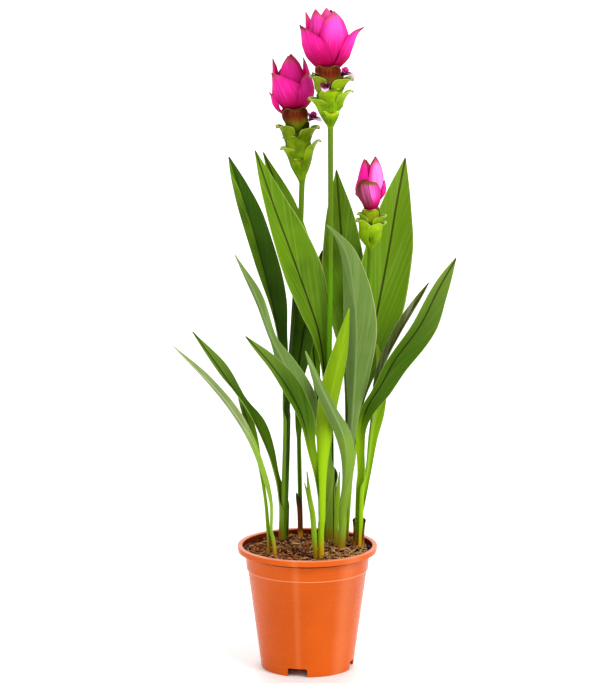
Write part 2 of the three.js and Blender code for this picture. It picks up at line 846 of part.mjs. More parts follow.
const HEADS = [
  {
    name: "tall",
    at: [21, 10, 504.3],
    top: [17.5, 6, 614],
    greenTop: 44,
    cups: [
      [192, 1.5, 20.5, 25, 16, 8.6],
      [-12, 8, 22.5, 25, 14, 10.4],
      [-78, 11, 14.5, 25, 14, 12.5, 0.26],
      [95, 7, 18, 22, 15, 9],
      [195, 26, 18.5, 21, 16.5, 12],
      [-20, 24, 23.5, 20, 17, 11],
      [75, 25, 19, 21, 14, 11],
      [203, 34, 16.5, 17, 10, 11],
      [-95, 33, 18.5, 24.5, 14, 13],
      [100, 34, 18, 22, 13, 12.5],
    ],
    petals: [
      [-66, 46, 21.5, 15, 62, 18],
      [-136, 48, 24.5, 29, 48.5, 20, -14, 0.4],
      [-32, 49, 23.5, 34.5, 43.5, 12, 18],
      [165, 46, 20, 20, 60, 12],
      [-130, 47, 18, 16, 63, 14],
      [-95, 48, 11, 5, 62, 12],
      [60, 50, 12, 7, 57, 12],
      [108, 46, 20, 17, 55, 17],
      [28, 46, 17.5, 12, 48, 15],
    ],
    florets: [
      [-100, 16.5, 38, 5.5],
      [-22, 12.2, 48, 7],
    ],
  },
  {
    name: "left",
    at: [-5, 42, 449.7],
    top: [-17, 40, 569],
    greenTop: 58,
    cups: [
      [192, 2, 17, 31, 16, 8],
      [-10, 3, 22, 34, 14, 9.5],
      [-80, 20, 14.5, 24, 14, 12, 0.26],
      [85, 12, 17, 24, 15, 10],
      [165, 22, 15, 21, 10, 11],
      [200, 33, 19.5, 21, 16.5, 12],
      [-20, 29, 22.5, 20.5, 17, 11],
      [80, 35, 17, 22, 14, 11],
      [-88, 46, 17.5, 24, 14, 12.5],
      [100, 47, 17.5, 22, 13, 12.5],
    ],
    petals: [
      [-112, 61, 20, 24, 45, 19, -24, 0.4],
      [-36, 62, 21.5, 19, 41, 14],
      [-95, 61, 14, 7, 58, 13],
      [170, 60, 17, 15.5, 57, 11],
      [10, 60, 18, 13, 55, 12],
      [75, 60, 15, 6, 59, 13],
      [-170, 60, 19.5, 22, 27, 9],
      [130, 60, 17, 14, 46, 14],
    ],
    florets: [[-35, 15.5, 58, 7]],
  },
  {
    name: "bud",
    at: [58, 12, 391.3],
    top: [58, 10, 478],
    greenTop: 36,
    cups: [
      [192, 2, 13.5, 25, 16, 10],
      [-22, 2, 14.5, 22, 16, 9],
      [186, 14, 12.5, 19, 13, 9],
      [-14, 12, 15.5, 19, 13, 8],
      [-100, 20, 10.5, 18, 11, 8],
      [80, 20, 10.5, 18, 11, 8],
    ],
    petals: [
      [-106, 37, 14.6, 13, 30, 15, -18, 0.85],
      [-52, 37, 11.8, 7, 49, 11],
      [-150, 37, 11.6, 7, 48, 10],
      [45, 37, 11.6, 6, 49, 12],
      [130, 37, 12.4, 7, 46, 12],
      [176, 41, 14, 11.5, 25, 9],
      [0, 42, 13.8, 12.5, 23, 9],
    ],
    florets: [],
  },
];

for (const { name, at, top, greenTop, cups, petals, florets } of HEADS) {
  const foot = new THREE.Vector3(...at);
  const up = new THREE.Vector3(...top).sub(foot).normalize();
  const right = new THREE.Vector3(1, 0, 0).addScaledVector(up, -up.x).normalize();
  const back = new THREE.Vector3().crossVectors(up, right);
  const frame = new THREE.Matrix4().makeBasis(right, back, up).setPosition(foot);
  const green = [axisCore([[0, 2.7], [10, 4.5], [greenTop, 5]]), ...cups.map(cupBract)];
  const pinkFoot = greenTop + CLEARANCE;
  const pinkCore = axisCore([[pinkFoot, 4.8], [pinkFoot + 10, 9], [pinkFoot + 20, 10], [pinkFoot + 26, 1]]);
  const pink = [pinkCore, ...petals.map(petalBract)];
  place("bracts_green_" + name, fuse(green).applyMatrix4(frame), BRACT_GREEN);
  place("bracts_pink_" + name, fuse(pink).applyMatrix4(frame), BRACT_PINK);
  florets.forEach((spec, i) => {
    place("floret_" + name + "_" + (i + 1), floret(spec).applyMatrix4(frame), FLORET_WHITE);
  });
}

export default group;
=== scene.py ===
"""A potted siam tulip: an orange nursery pot of bark and coir, its leafy shoots and three flower heads.

Metres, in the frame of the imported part: the pot's axis on Z, its foot on z = 0, its front towards -Y.
"""

import random
from math import cos, degrees, exp, hypot, pi, radians, sin, sqrt, tau

import bmesh
import bpy
from mathutils import Matrix, Vector, noise


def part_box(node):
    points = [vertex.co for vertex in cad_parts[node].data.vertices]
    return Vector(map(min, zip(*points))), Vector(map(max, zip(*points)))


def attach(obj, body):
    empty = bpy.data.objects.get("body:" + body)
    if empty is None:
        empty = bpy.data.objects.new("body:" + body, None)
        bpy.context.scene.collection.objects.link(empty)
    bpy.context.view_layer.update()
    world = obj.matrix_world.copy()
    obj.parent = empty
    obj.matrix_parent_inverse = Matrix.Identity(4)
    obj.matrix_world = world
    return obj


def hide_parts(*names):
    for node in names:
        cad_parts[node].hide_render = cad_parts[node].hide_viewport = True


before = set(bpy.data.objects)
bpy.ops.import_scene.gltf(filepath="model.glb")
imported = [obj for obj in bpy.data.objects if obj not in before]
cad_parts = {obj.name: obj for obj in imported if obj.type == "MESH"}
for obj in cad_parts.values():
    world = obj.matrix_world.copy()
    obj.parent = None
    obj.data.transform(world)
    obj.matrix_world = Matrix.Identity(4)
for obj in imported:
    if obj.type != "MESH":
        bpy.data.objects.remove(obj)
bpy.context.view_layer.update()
random.seed(7)

# The tables of shoots, leaves, stems and flower heads are in millimetres
MM = 0.001

# The pot, as the part has it
POT_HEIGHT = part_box("pot")[1].z
RIM_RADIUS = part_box("pot")[1].x
LIP_HEIGHT = 0.0055
LIP_INNER_RADIUS = 0.0605
COLLAR_RADIUS = 0.0583
COLLAR_FOOT_RADIUS = 0.0566
COLLAR_DEPTH = 0.022
COLLAR_STEP = 0.0012
FOOT_RADIUS = 0.043
WALL = 0.0014
FLOOR_Z = 0.009
FLARE = 0.003
LIP_ROUND = 0.0009
EDGE_ROUND = 0.0005
BOSS_RADIUS = 0.008
POT_SIDES = 144
NOTCHES = 4
NOTCH_TURN = 77.5
NOTCH_WIDTH = 0.0185
NOTCH_HEIGHT = 0.008
NOTCH_ROUND = 0.002
NOTCH_REACH = 0.008
DRAIN_HOLES = 6
DRAIN_RADIUS = 0.005
DRAIN_RING = 0.027
CUT_OVER = 0.001

# The soil
SOIL_Z = 0.11
SOIL_EDGE = 0.0592
SOIL_EDGE_Z = 0.107
SOIL_GAP = 0.0003
SOIL_SIDES = 220
SOIL_RINGS = 66
MOUND_X = 0.036
MOUND_Y = 0.026
MOUND_SPREAD = 0.0005
MOUND_HEIGHT = 0.0025
LUMP_SCALE = 110
LUMP_HEIGHT = 0.0022
CRUMB_SCALE = 420
CRUMB_HEIGHT = 0.0012
CHIPS = 420
CHIP_REACH = 0.0565
CHIP_LIFT = 0.0004
FIBRES = 1000
FIBRE_REACH = 0.0555
FIBRE_LIMIT = 0.0572
FIBRE_LIFT = 0.0009
FIBRE_ARCH = 0.0022
PALE_FIBRES_X = 0.015
STEM_FOOT_Z = 0.0998

# Leaves and bracts
CREASE = 40
LEAF_THICKNESS = 0.0007
SCALE_THICKNESS = 0.0006
BRACT_THICKNESS = 0.0008
MARGIN_SHARE = 0.4
LEAST_HALF_WIDTH = 0.0003
LEAST_WRAP = 0.001
RIPPLE_START = 0.2
RIPPLE_LENGTH = 0.013
RIPPLE_STEP = 1.9
RIPPLE_SHIFT = 1.7
SMALL_RIPPLE = 0.0003
CURL_START = 0.55
CURL_SPAN = 0.2
SHEATH_WRAP = 135
MOUTH_WRAP = 80
MOUTH_RISE = 0.012
MOUTH_LIFT = 0.001
SCAPE_RADIUS = 0.0025
FRESH_LIME = 0x8EB80A
FRESH_TOP = 0.245
FOOT_BROWN = 0x5A3A0A
FOOT_RUST = 0x76340E
FOOT_GOLD = 0xD8941A
SCAPE_RIB = 0x8CAC28
PETAL_BROWN = 0x8A3A30


# Materials, and which output of a coordinate node and of a mix of colours they take
OBJECT_OUTPUT = 3
COLOUR_OUTPUT = 2


def tint(code):
    """A colour that is written as on screen, in the light values that shaders take."""
    parts = [(code >> shift & 255) / 255 for shift in (16, 8, 0)]
    return tuple(((p + 0.055) / 1.055) ** 2.4 if p > 0.04045 else p / 12.92 for p in parts) + (1.0,)


class Shade:
    """A socket of a finish, so that shader maths reads as ordinary maths."""

    def __init__(self, finish, socket):
        self.finish = finish
        self.socket = socket

    def maths(self, operation, *values):
        return self.finish.node("ShaderNodeMath", {"operation": operation}, dict(enumerate(values)))[0]

    def __add__(self, other):
        return self.maths("ADD", self, other)

    def __sub__(self, other):
        return self.maths("SUBTRACT", self, other)

    def __mul__(self, other):
        return self.maths("MULTIPLY", self, other)

    def __truediv__(self, other):
        return self.maths("DIVIDE", self, other)

    def __pow__(self, other):
        return self.maths("POWER", self, other)

    def __rsub__(self, other):
        return self.maths("SUBTRACT", other, self)

    def __abs__(self):
        return self.maths("ABSOLUTE", self)

    __radd__ = __add__
    __rmul__ = __mul__

    def rise(self, low, high):
        """0 below low, 1 above high, and smooth between; falls where high is below low."""
        if low > high:
            return 1 - self.rise(high, low)
        sockets = {"Value": self, "From Min": low, "From Max": high}
        return self.finish.node("ShaderNodeMapRange", {"interpolation_type": "SMOOTHSTEP"}, sockets)[0]


class Finish:
    """One material: nodes round a principled skin, and a ground colour that others are laid over."""

    def __init__(self, name, roughness, specular, ground):
        self.material = bpy.data.materials.new(name)
        self.material.use_nodes = True
        self.tree = self.material.node_tree
        self.skin = self.tree.nodes["Principled BSDF"]
        self.feed("Roughness", roughness)
        self.feed("Specular IOR Level", specular)
        self.colour = ground

    def feed(self, socket, value):
        self.join(self.skin.inputs[socket], value)

    def join(self, socket, value):
        if isinstance(value, Shade):
            self.tree.links.new(value.socket, socket)
        else:
            socket.default_value = value

    def node(self, kind, settings, sockets):
        """The outputs of a new node."""
        made = self.tree.nodes.new(kind)
        for name, value in settings.items():
            setattr(made, name, value)
        for name, value in sockets.items():
            self.join(made.inputs[name], value)
        return [Shade(self, output) for output in made.outputs]

    def parts(self, vector):
        return self.node("ShaderNodeSeparateXYZ", {}, {0: vector})

    def layers(self, *names):
        """The two values that a mesh keeps in each of some layers."""
        found = [self.node("ShaderNodeUVMap", {"uv_map": name}, {})[0] for name in names]
        return [value for place in found for value in self.parts(place)[:2]]

    def spot(self):
        return self.node("ShaderNodeTexCoord", {}, {})[OBJECT_OUTPUT]

    def height(self):
        return self.parts(self.spot())[2]

    def cloud(self, where, scale, detail=2, roughness=0.5):
        sockets = {"Vector": where, "Scale": scale, "Detail": detail, "Roughness": roughness}
        return self.node("ShaderNodeTexNoise", {}, sockets)[0]

    def grain(self, x, y, z=0):
        """Noise at a place that is stretched already."""
        return self.cloud(self.node("ShaderNodeCombineXYZ", {}, {0: x, 1: y, 2: z})[0], 1)

    def mix(self, amount, first, second):
        """A mix of two colours, each as light values, as a code or as a shade."""
        first, second = (tint(side) if isinstance(side, int) else side for side in (first, second))
        made = self.node("ShaderNodeMix", {"data_type": "RGBA"}, {0: amount, 6: first, 7: second})
        return made[COLOUR_OUTPUT]

    def paint(self, amount, colour):
        """Lays a colour over what is there."""
        self.colour = self.mix(amount, self.colour, colour)

    def relief(self, height, distance, strength):
        sockets = {"Height": height, "Distance": distance, "Strength": strength}
        self.feed("Normal", self.node("ShaderNodeBump", {}, sockets)[0])

    def done(self):
        self.feed("Base Color", self.colour)
        return self.material


def leaf_finish(
    name, blade, shadow, streak, rib, margin, stalk, stalk_top, roughness,
    rib_width=0.0012, painted_half_shade=0, end=0,
):
    """A leaf's face: veins at a low angle to the midrib, the midrib, a thin margin and a paler stalk
    with painted shade along its edges.

    The tone layer says how light the leaf and how lime its stalk is; the half-shade value paints
    shade over one half, the half turned from the light, and end lightens the leaf's end."""
    made = Finish(name, roughness, 0.06, shadow)
    share_across, share_along, across, along, tone, fresh = made.layers("share", "reach", "tone")
    side = abs(across)
    vein = side - along * 0.2
    broad = made.grain(vein * 420, along * 9, tone * 20)
    fine = made.grain(vein * 1500, along * 25, tone * 31)
    patch = made.cloud(made.spot(), 28)
    made.paint((patch + tone).rise(0.3, 0.8), blade)
    made.paint(broad.rise(0.42, 0.68) * 0.55, streak)
    made.paint(fine.rise(0.55, 0.75) * 0.3, streak)
    made.paint(share_along.rise(0.7, 0.97) * end, margin)
    inner = share_along.rise(0.22, 0.4) * (1 - share_along * 0.25)
    made.paint(side.rise(rib_width, rib_width * 0.55) * inner, rib)
    edge = abs(share_across - 0.5)
    made.paint(edge.rise(0.472, 0.494) * 0.8, margin)
    # Painted shade over one half of the blade, the half turned from the light
    made.paint(share_across.rise(0.47, 0.53) * painted_half_shade, shadow)
    height = made.height()
    lit = made.mix(broad.rise(0.3, 0.7) * 0.22, stalk, margin)
    made.paint(height.rise(stalk_top, stalk_top - 0.09), lit)
    made.paint(height.rise(FRESH_TOP, FRESH_TOP - 0.04) * fresh, FRESH_LIME)
    # Painted shade along both edges of the stalk, to round it
    painted_stalk_shade = edge.rise(0.2, 0.5) * height.rise(FRESH_TOP, FRESH_TOP - 0.06)
    made.paint(painted_stalk_shade * 0.25, shadow)
    foot = height.rise(SOIL_Z + 0.022, SOIL_Z + 0.004)
    made.paint(foot * 0.8, made.mix(fresh, FOOT_BROWN, FOOT_GOLD))
    made.relief(broad + fine * 0.4, 0.0004, 0.6)
    return made.done()


def sheath_finish(name, dry, dark, edge):
    """A ribbed scale sheath with a thin edge, rusty and then golden towards the soil."""
    made = Finish(name, 0.6, 0.1, dark)
    share_across, _, across, along = made.layers("share", "reach")
    ribs = made.grain(across * 1100, along * 20)
    made.paint(ribs.rise(0.35, 0.65), dry)
    made.paint(abs(share_across - 0.5).rise(0.45, 0.49) * 0.8, edge)
    height = made.height()
    made.paint(height.rise(SOIL_Z + 0.038, SOIL_Z + 0.024) * 0.8, FOOT_RUST)
    foot = (height + ribs * 0.006).rise(SOIL_Z + 0.014, SOIL_Z + 0.006)
    made.paint(foot * 0.8, FOOT_GOLD)
    made.relief(ribs, 0.0004, 0.7)
    return made.done()


def scape_finish(name, high, low, foot, turn_top, turn_foot):
    """A scape that turns from one green to another between two heights."""
    made = Finish(name, 0.42, 0.07, high)
    across, along = made.layers("reach")
    ribs = made.grain(across * 1400, along * 14)
    height = made.height()
    made.paint(height.rise(turn_top, turn_foot), low)
    made.paint(height.rise(0.2, 0.13), foot)
    made.paint(ribs.rise(0.45, 0.7) * 0.35, SCAPE_RIB)
    made.relief(ribs, 0.0003, 0.5)
    return made.done()


def cup_finish(name, flesh, shadow, lit, rim):
    """A green bract: tone 0 is green and 1 is brown, and its second value paints light on its upper part
    and takes the painted shade off its foot.
    """
    made = Finish(name, 0.42, 0.06, shadow)
    share_across, share_along, across, along, brown, light = made.layers("share", "reach", "tone")
    ribs = made.grain(across * 700, along * 30, brown * 9)
    patch = made.cloud(made.spot(), 70)
    made.paint(patch.rise(0.35, 0.65), flesh)
    # Painted light on the upper part, as much as the bract's lit value
    made.paint(share_along.rise(0.3, 0.8) * light, lit)
    # Painted light on the raised ribs and painted shade between them
    made.paint(ribs.rise(0.45, 0.75) * 0.25, lit)
    made.paint(ribs.rise(0.45, 0.25) * 0.35, shadow)
    # Painted shade at the foot, where the cup below overlaps it; the lit value takes it off
    made.paint(share_along.rise(0.5, 0.25) * (0.5 - light * 0.5), shadow)
    off = abs(share_across - 0.5)
    dark = made.mix((ribs + patch).rise(0.8, 1.2), 0x4A0C04, 0x74260A)
    dark = made.mix(off.rise(0.3, 0.05) * share_along.rise(0.5, 0.8) * 0.5, dark, 0x7A6A14)
    made.paint(brown * (ribs * 0.25 + share_along).rise(0.2, 0.6), dark)
    edge = off.rise(0.445, 0.485) * share_along.rise(0.4, 0.6)
    edge = edge + share_along.rise(0.7, 0.76) * share_along.rise(0.84, 0.78) * 0.7
    made.paint(edge * 0.6, made.mix(brown, rim, 0x8A7A20))
    made.paint(share_along.rise(0.82, 0.93) * 0.8, 0x5A3008)
    made.relief(ribs, 0.0003, 0.5)
    return made.done()


def petal_finish():
    """A pink bract: the tone layer's values are how pale its middle is and how brown its tip is.

    Past 1 the brown runs on down the bract."""
    made = Finish("pink bract", 0.55, 0.04, 0x9C003C)
    share_across, share_along, across, along, pale, brown = made.layers("share", "reach", "tone")
    off = abs(share_across - 0.5) * 2
    veins = made.grain(across * 900, along * 22, pale * 17)
    patch = made.cloud(made.spot(), 60)
    whole = pale.rise(1, 2)
    upper = (share_along + whole * 0.5).rise(0.18, 0.68)
    made.paint(upper, 0xF41C96)
    made.paint(patch.rise(0.4, 0.7) * upper * 0.5, 0xF434AC)
    bright = (share_along + veins * 0.25 + whole * 0.6).rise(0.58, 0.85) * off.rise(1, 0.3)
    pink = made.mix(whole, 0xF64CC4, 0xFC84D4)
    made.paint(bright * pale.rise(0, 1), pink)
    made.paint(veins.rise(0.5, 0.68) * 0.5, 0xB40058)
    made.paint(veins.rise(0.44, 0.3) * upper * 0.4, 0xFA5CC0)
    # Painted shade: a dark line along the margins, where bracts overlap
    rim = off.rise(0.93, 0.99) * share_along.rise(0.2, 0.5)
    made.paint(rim * 0.55, 0xA8104C)
    # Painted shade towards the margins
    made.paint(off.rise(0.55, 1) * 0.35, 0xB80460)
    spread = brown.rise(1, 2)
    tip = (share_along + veins * 0.25 + off * 0.1 + spread * 0.15).rise(0.89, 1.05)
    end = made.mix(spread, made.mix(brown, 0xE0607A, PETAL_BROWN), 0x74561C)
    made.paint(tip * (0.65 + brown * 0.3), end)
    side = (share_across + veins * 0.5).rise(0.5, 0.78) * (0.5 + veins.rise(0.35, 0.6) * 0.5)
    made.paint(spread * side * 1.4, 0x702C1C)
    made.paint(share_along.rise(0.84, 0.94) * brown * 0.7, 0x5A2A18)
    keel = off.rise(0.14, 0.02) * share_along.rise(0.55, 0.95)
    made.paint(keel * brown.rise(0, 1) * 0.5, PETAL_BROWN)
    made.relief(veins, 0.0003, 0.45)
    return made.done()


def floret_finish():
    """A small flower with a maroon throat: the tone layer turns a lobe pink, then maroon."""
    made = Finish("white floret", 0.5, 0.12, 0x4E0620)
    _, share_along, pink, maroon = made.layers("share", "tone")
    spots = made.cloud(made.spot(), 420)
    hood = made.mix(maroon, 0xE02C96, 0x6A0A34)
    made.paint(share_along.rise(0.3, 0.55), made.mix(pink, 0xF2C6E6, hood))
    made.paint(spots.rise(0.5, 0.7) * 0.3, 0xC056C8)
    return made.done()


def pot_finish():
    """Glossy blown plastic with a faint haze, fine scuffs and flow lines round the wall; painted
    highlights on the lip's top, on the collar's step and in two bands down the wall's front;
    painted shade on the inside wall above the soil.
    """
    made = Finish("orange pot plastic", 0.34, 0.12, 0xC85208)
    spot = made.spot()
    x, y, z = made.parts(spot)
    radius = (x * x + y * y) ** 0.5
    haze = made.cloud(spot, 18)
    grit = made.cloud(spot, 900)
    scuff = made.cloud(spot, 130, 4)
    lines = made.grain(0, 0, z * 420)
    made.paint(haze.rise(0.3, 0.7), 0xD25A0C)
    made.paint(lines.rise(0.5, 0.7) * 0.2, 0xDC6A1A)
    crown_foot = POT_HEIGHT - 0.0006
    # Painted highlight: a pale line round the top of the lip
    crown = z.rise(crown_foot - 0.0004, crown_foot + 0.0002)
    made.paint(crown * 0.3, 0xF4B498)
    # Painted highlight: a pale line along the collar's step
    step = abs(z - (POT_HEIGHT - COLLAR_DEPTH)).rise(0.0006, 0.0002)
    made.paint(step * 0.6, 0xF2A47C)
    flare_foot = POT_HEIGHT - LIP_HEIGHT - FLARE
    # Painted shade on the inside wall, between the soil and the lip's top
    inside = radius.rise(LIP_INNER_RADIUS + 0.0003, LIP_INNER_RADIUS + 0.0001)
    inside = inside * z.rise(flare_foot, flare_foot + 0.0004) * z.rise(crown_foot, crown_foot - 0.0008)
    made.paint(inside * 0.9, 0x561A06)
    # Painted highlights: two pale bands down the front of the wall, as a gloss would reflect
    across = x / radius
    painted_sheen = abs(across + 0.19).rise(0.09, 0) * 0.1
    painted_sheen = painted_sheen + abs(across - 0.65).rise(0.2, 0) * 0.12
    made.paint(painted_sheen * y.rise(-0.01, -0.03), 0xFFB484)
    made.feed("Roughness", 0.26 + scuff.rise(0.5, 0.8) * 0.16)
    made.relief(grit * 0.3 + lines * 0.3 + haze, 0.0003, 0.35)
    return made.done()


def soil_finish(name, dark, mid, light):
    """The tone layer's first value lightens a chip or a fibre."""
    made = Finish(name, 0.9, 0.1, dark)
    spot = made.spot()
    pale, _ = made.layers("tone")
    lumps = made.cloud(spot, 260, 5, 0.65)
    crumbs = made.cloud(spot, 900, 4, 0.7)
    made.paint(lumps.rise(0.38, 0.62), mid)
    made.paint(crumbs.rise(0.56, 0.72) * 0.3 + pale * 0.7, light)
    made.relief(lumps + crumbs * 0.5, 0.0012, 0.9)
    return made.done()


def floor_finish():
    made = Finish("pale floor", 0.6, 0.2, (0.9, 0.9, 0.9, 1))
    made.paint(made.cloud(made.spot(), 3), (0.93, 0.93, 0.93, 1))
    return made.done()


GREEN_FACE = leaf_finish(
    "green leaf face", 0x60860E, 0x486C06, 0x769834, 0x240E06, 0xA6B854, 0x7A9C14, 0.2, 0.42, 0.0013
)
DEEP_FACE = leaf_finish(
    "deep green face", 0x3C6006, 0x243E04, 0x527418, 0x1C1204, 0x86A040, 0x5A780C, 0.19, 0.42, end=0.4
)
HALF_LIT_FACE = leaf_finish(
    "half lit face", 0x7AA624, 0x2A4C06, 0x86AE38, 0x24300A, 0x86A040, 0x84B014, 0.31, 0.42, painted_half_shade=0.85
)
BRONZE_FACE = leaf_finish(
    "bronze leaf face", 0x5E6E20, 0x2E3A10, 0xB4B88C, 0x3A1E10, 0xC0C894, 0x7A901C, 0.19, 0.45
)
GREY_BACK = leaf_finish(
    "grey green leaf back", 0x64803A, 0x4E6826, 0x7A9250, 0x7E9656, 0xB0BC80, 0x6E8C20, 0.21, 0.55
)
LIME_BACK = leaf_finish(
    "lime leaf back", 0x76980A, 0x5C8004, 0x8EAE22, 0x82A414, 0xC0D070, 0x8EB010, 0.2, 0.45, 0.001
)
SILVER_FACE = leaf_finish(
    "silvery leaf face", 0x86985A, 0x6C8042, 0x9CAE74, 0xA0B070, 0xC8D0A4, 0x84A414, 0.19, 0.5, 0.001
)
PALE_BACK = leaf_finish(
    "pale leaf back", 0x5C7A34, 0x466220, 0x728C48, 0x86A054, 0xA8B674, 0x688E10, 0.3, 0.55, 0.001
)
DRY_SHEATH = sheath_finish("dry sheath", 0x3E3A10, 0x1C1408, 0x6A5C28)
OLIVE_SHEATH = sheath_finish("olive sheath", 0x3A4610, 0x1A1E06, 0x6A7020)
DARK_SHEATH = sheath_finish("dark sheath", 0x567A0C, 0x3A5806, 0x9AAE40)
SCAPE_SKIN = scape_finish("green scape", 0x567210, 0x5C9602, 0x4E7404, 0.4, 0.34)
DARK_SCAPE_SKIN = scape_finish("dark scape", 0x5A7A10, 0x143006, 0x4A700A, 0.38, 0.352)
CUP_SKIN = cup_finish("green bract", 0x80A404, 0x507402, 0xB0D210, 0xC8D874)
PETAL_SKIN = petal_finish()
FLORET_SKIN = floret_finish()
POT_SKIN = pot_finish()
SOIL_SKIN = soil_finish("dark coir", 0x030100, 0x0E0401, 0x6A3010)
BARK_SKIN = soil_finish("bark chip", 0x0A0200, 0x581A06, 0xE08238)
FIBRE_SKIN = soil_finish("coir fibre", 0x3A0E02, 0xA04408, 0xFFD490)


# Meshes
def spline(points, steps):
    """Points on the centripetal Catmull-Rom curve through some points, as the part's midribs run."""
    ends = [2 * points[0] - points[1], *points, 2 * points[-1] - points[-2]]
    found = []
    for a, b, c, d in zip(ends, ends[1:], ends[2:], ends[3:]):
        before, within, after = (max((q - p).length ** 0.5, 1e-6) for p, q in ((a, b), (b, c), (c, d)))
        leave = ((b - a) / before - (c - a) / (before + within) + (c - b) / within) * within
        arrive = ((c - b) / within - (d - b) / (within + after) + (d - c) / after) * within
        found += [hermite(b, c, leave, arrive, i / steps) for i in range(steps)]
    return found + [points[-1]]


def eased(values, steps):
    """Values between rows, on a curve that passes through them and never overshoots."""
    gaps = [b - a for a, b in zip(values, values[1:])]
    slopes = [2 * p * q / (p + q) if p * q > 0 else 0 for p, q in zip(gaps, gaps[1:])]
    slopes = [gaps[0], *slopes, gaps[-1]]
    found = []
    for a, b, p, q in zip(values, values[1:], slopes, slopes[1:]):
        found += [hermite(a, b, p, q, i / steps) for i in range(steps)]
    return found + [values[-1]]


def hermite(start, end, leave, arrive, t):
    """From start to end, with the slopes that a curve leaves and arrives with."""
    back = 2 * t**3 - 3 * t**2
    return start * (1 + back) - end * back + (leave * (t**3 - 2 * t**2 + t) + arrive * (t**3 - t**2))


def walk(line):
    """Each point of a line, with the heading there, the share of the way and the distance so far."""
    last = len(line) - 1
    length = 0.0
    for i, place in enumerate(line):
        before = line[max(i - 1, 0)]
        length += (place - before).length
        yield place, (line[min(i + 1, last)] - before).normalized(), i / last, length


def circle(radius, sides, turn=0):
    """Points round the axis. turn is the first one's share of a side."""
    angles = [tau * (j + turn) / sides for j in range(sides)]
    return [(radius * cos(a), radius * sin(a)) for a in angles]


def smooth(mesh, crease):
    """Turns a mesh's faces outwards, and keeps only the edges past a crease sharp."""
    work = bmesh.new()
    work.from_mesh(mesh)
    bmesh.ops.recalc_face_normals(work, faces=work.faces)
    for edge in work.edges:
        edge.smooth = edge.calc_face_angle(0.0) < radians(crease)
    for face in work.faces:
        face.smooth = True
    work.to_mesh(mesh)
    work.free()


def stand(name, data):
    """A new object that stands in the scene."""
    made = bpy.data.objects.new(name, data)
    bpy.context.scene.collection.objects.link(made)
    return made


class Shell:
    """Points and faces of one piece, each point with where it lies on its blade."""

    def __init__(self):
        self.points = []
        self.faces = []
        self.layers = {"share": [], "reach": [], "tone": []}

    def point(self, place, share=(0, 0), reach=(0, 0), tone=(0, 0)):
        self.points.append(Vector(place))
        for layer, value in zip(self.layers.values(), (share, reach, tone)):
            layer.append(value)
        return len(self.points) - 1

    def face(self, corners, finish=0):
        self.faces.append((corners, finish))

    def band(self, first, second):
        """Faces between two closed rings of as many points."""
        for j in range(len(first)):
            k = (j + 1) % len(first)
            self.face((first[j], first[k], second[k], second[j]))

    def tube(self, rings):
        """Bands from ring to ring, closed at both ends."""
        for first, second in zip(rings, rings[1:]):
            self.band(first, second)
        self.face(rings[0])
        self.face(rings[-1])

    def moved(self, matrix, start=0):
        for i in range(start, len(self.points)):
            self.points[i] = matrix @ self.points[i]

    def mesh(self, name, crease=CREASE):
        made = bpy.data.meshes.new(name)
        made.from_pydata(self.points, [], [corners for corners, _ in self.faces])
        smooth(made, crease)
        return made

    def piece(self, name, finishes, slot, nodes=(), crease=CREASE):
        mesh = self.mesh(name, crease)
        for finish in finishes:
            mesh.materials.append(finish)
        mesh.polygons.foreach_set("material_index", [finish for _, finish in self.faces])
        for layer, values in self.layers.items():
            made = mesh.uv_layers.new(name=layer)
            for loop, data in zip(mesh.loops, made.data):
                data.uv = values[loop.vertex_index]
        made = stand(name, mesh)
        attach(made, "root")
        if nodes:
            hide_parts(*nodes)
        return made


def add_blade(shell, rows, thickness, across, steps, tone=(0, 0), wave=0, curl=0, phase=0):
    """A leaf, bract or petal. A row is the midrib's x, y and z, its half-width, and then fold, wrap
    and turn in degrees, as in the part. wave ripples the margins and curl turns them outwards."""
    line = walk(spline([Vector(row[:3]) for row in rows], steps))
    columns = zip(*(eased([row[k] for row in rows], steps) for k in range(3, 7)))
    grid = []
    for (centre, forward, share_along, length), (half, *angles) in zip(line, columns):
        half = max(half, LEAST_HALF_WIDTH)
        fold, wrap, turn = (radians(angle) for angle in angles)
        bend = max(wrap, LEAST_WRAP) / half
        side = Vector((cos(turn), sin(turn), 0.0))
        side = (side - forward * side.dot(forward)).normalized()
        face = side.cross(forward)
        swell = (share_along - RIPPLE_START) / (1 - RIPPLE_START)
        swell = sin(pi * min(1.0, max(0.0, swell)))
        upper, lower = [], []
        for j in range(across + 1):
            share = 2 * j / across - 1
            u = share * half
            angle = fold + bend * abs(u)
            sign = (u > 0) - (u < 0)
            out = (sin(angle) - sin(fold)) / bend * sign
            lift = (cos(fold) - cos(angle)) / bend
            ripple = wave * swell * share**2 * sin(length / RIPPLE_LENGTH + phase + RIPPLE_SHIFT * sign)
            ripple -= curl * swell * max(0.0, abs(share) - CURL_START) ** 2 / CURL_SPAN
            middle = centre + side * out + face * (lift + ripple)
            tilt = angle if sign else 0.0
            normal = face * cos(tilt) - side * (sign * sin(tilt))
            depth = thickness / 2 * (1 - (1 - MARGIN_SHARE) * share**4)
            values = ((j / across, share_along), (u, length), tone)
            upper.append(shell.point(middle + normal * depth, *values))
            lower.append(shell.point(middle - normal * depth, *values))
        grid.append((upper, lower))
    for (upper, lower), (next_upper, next_lower) in zip(grid, grid[1:]):
        for j in range(across):
            shell.face((upper[j], upper[j + 1], next_upper[j + 1], next_upper[j]))
            shell.face((lower[j + 1], lower[j], next_lower[j], next_lower[j + 1]), 1)
        for j in (0, across):
            shell.face((upper[j], next_upper[j], next_lower[j], lower[j]))
    for upper, lower in (grid[0], grid[-1]):
        for j in range(across):
            shell.face((upper[j], lower[j], lower[j + 1], upper[j + 1]))


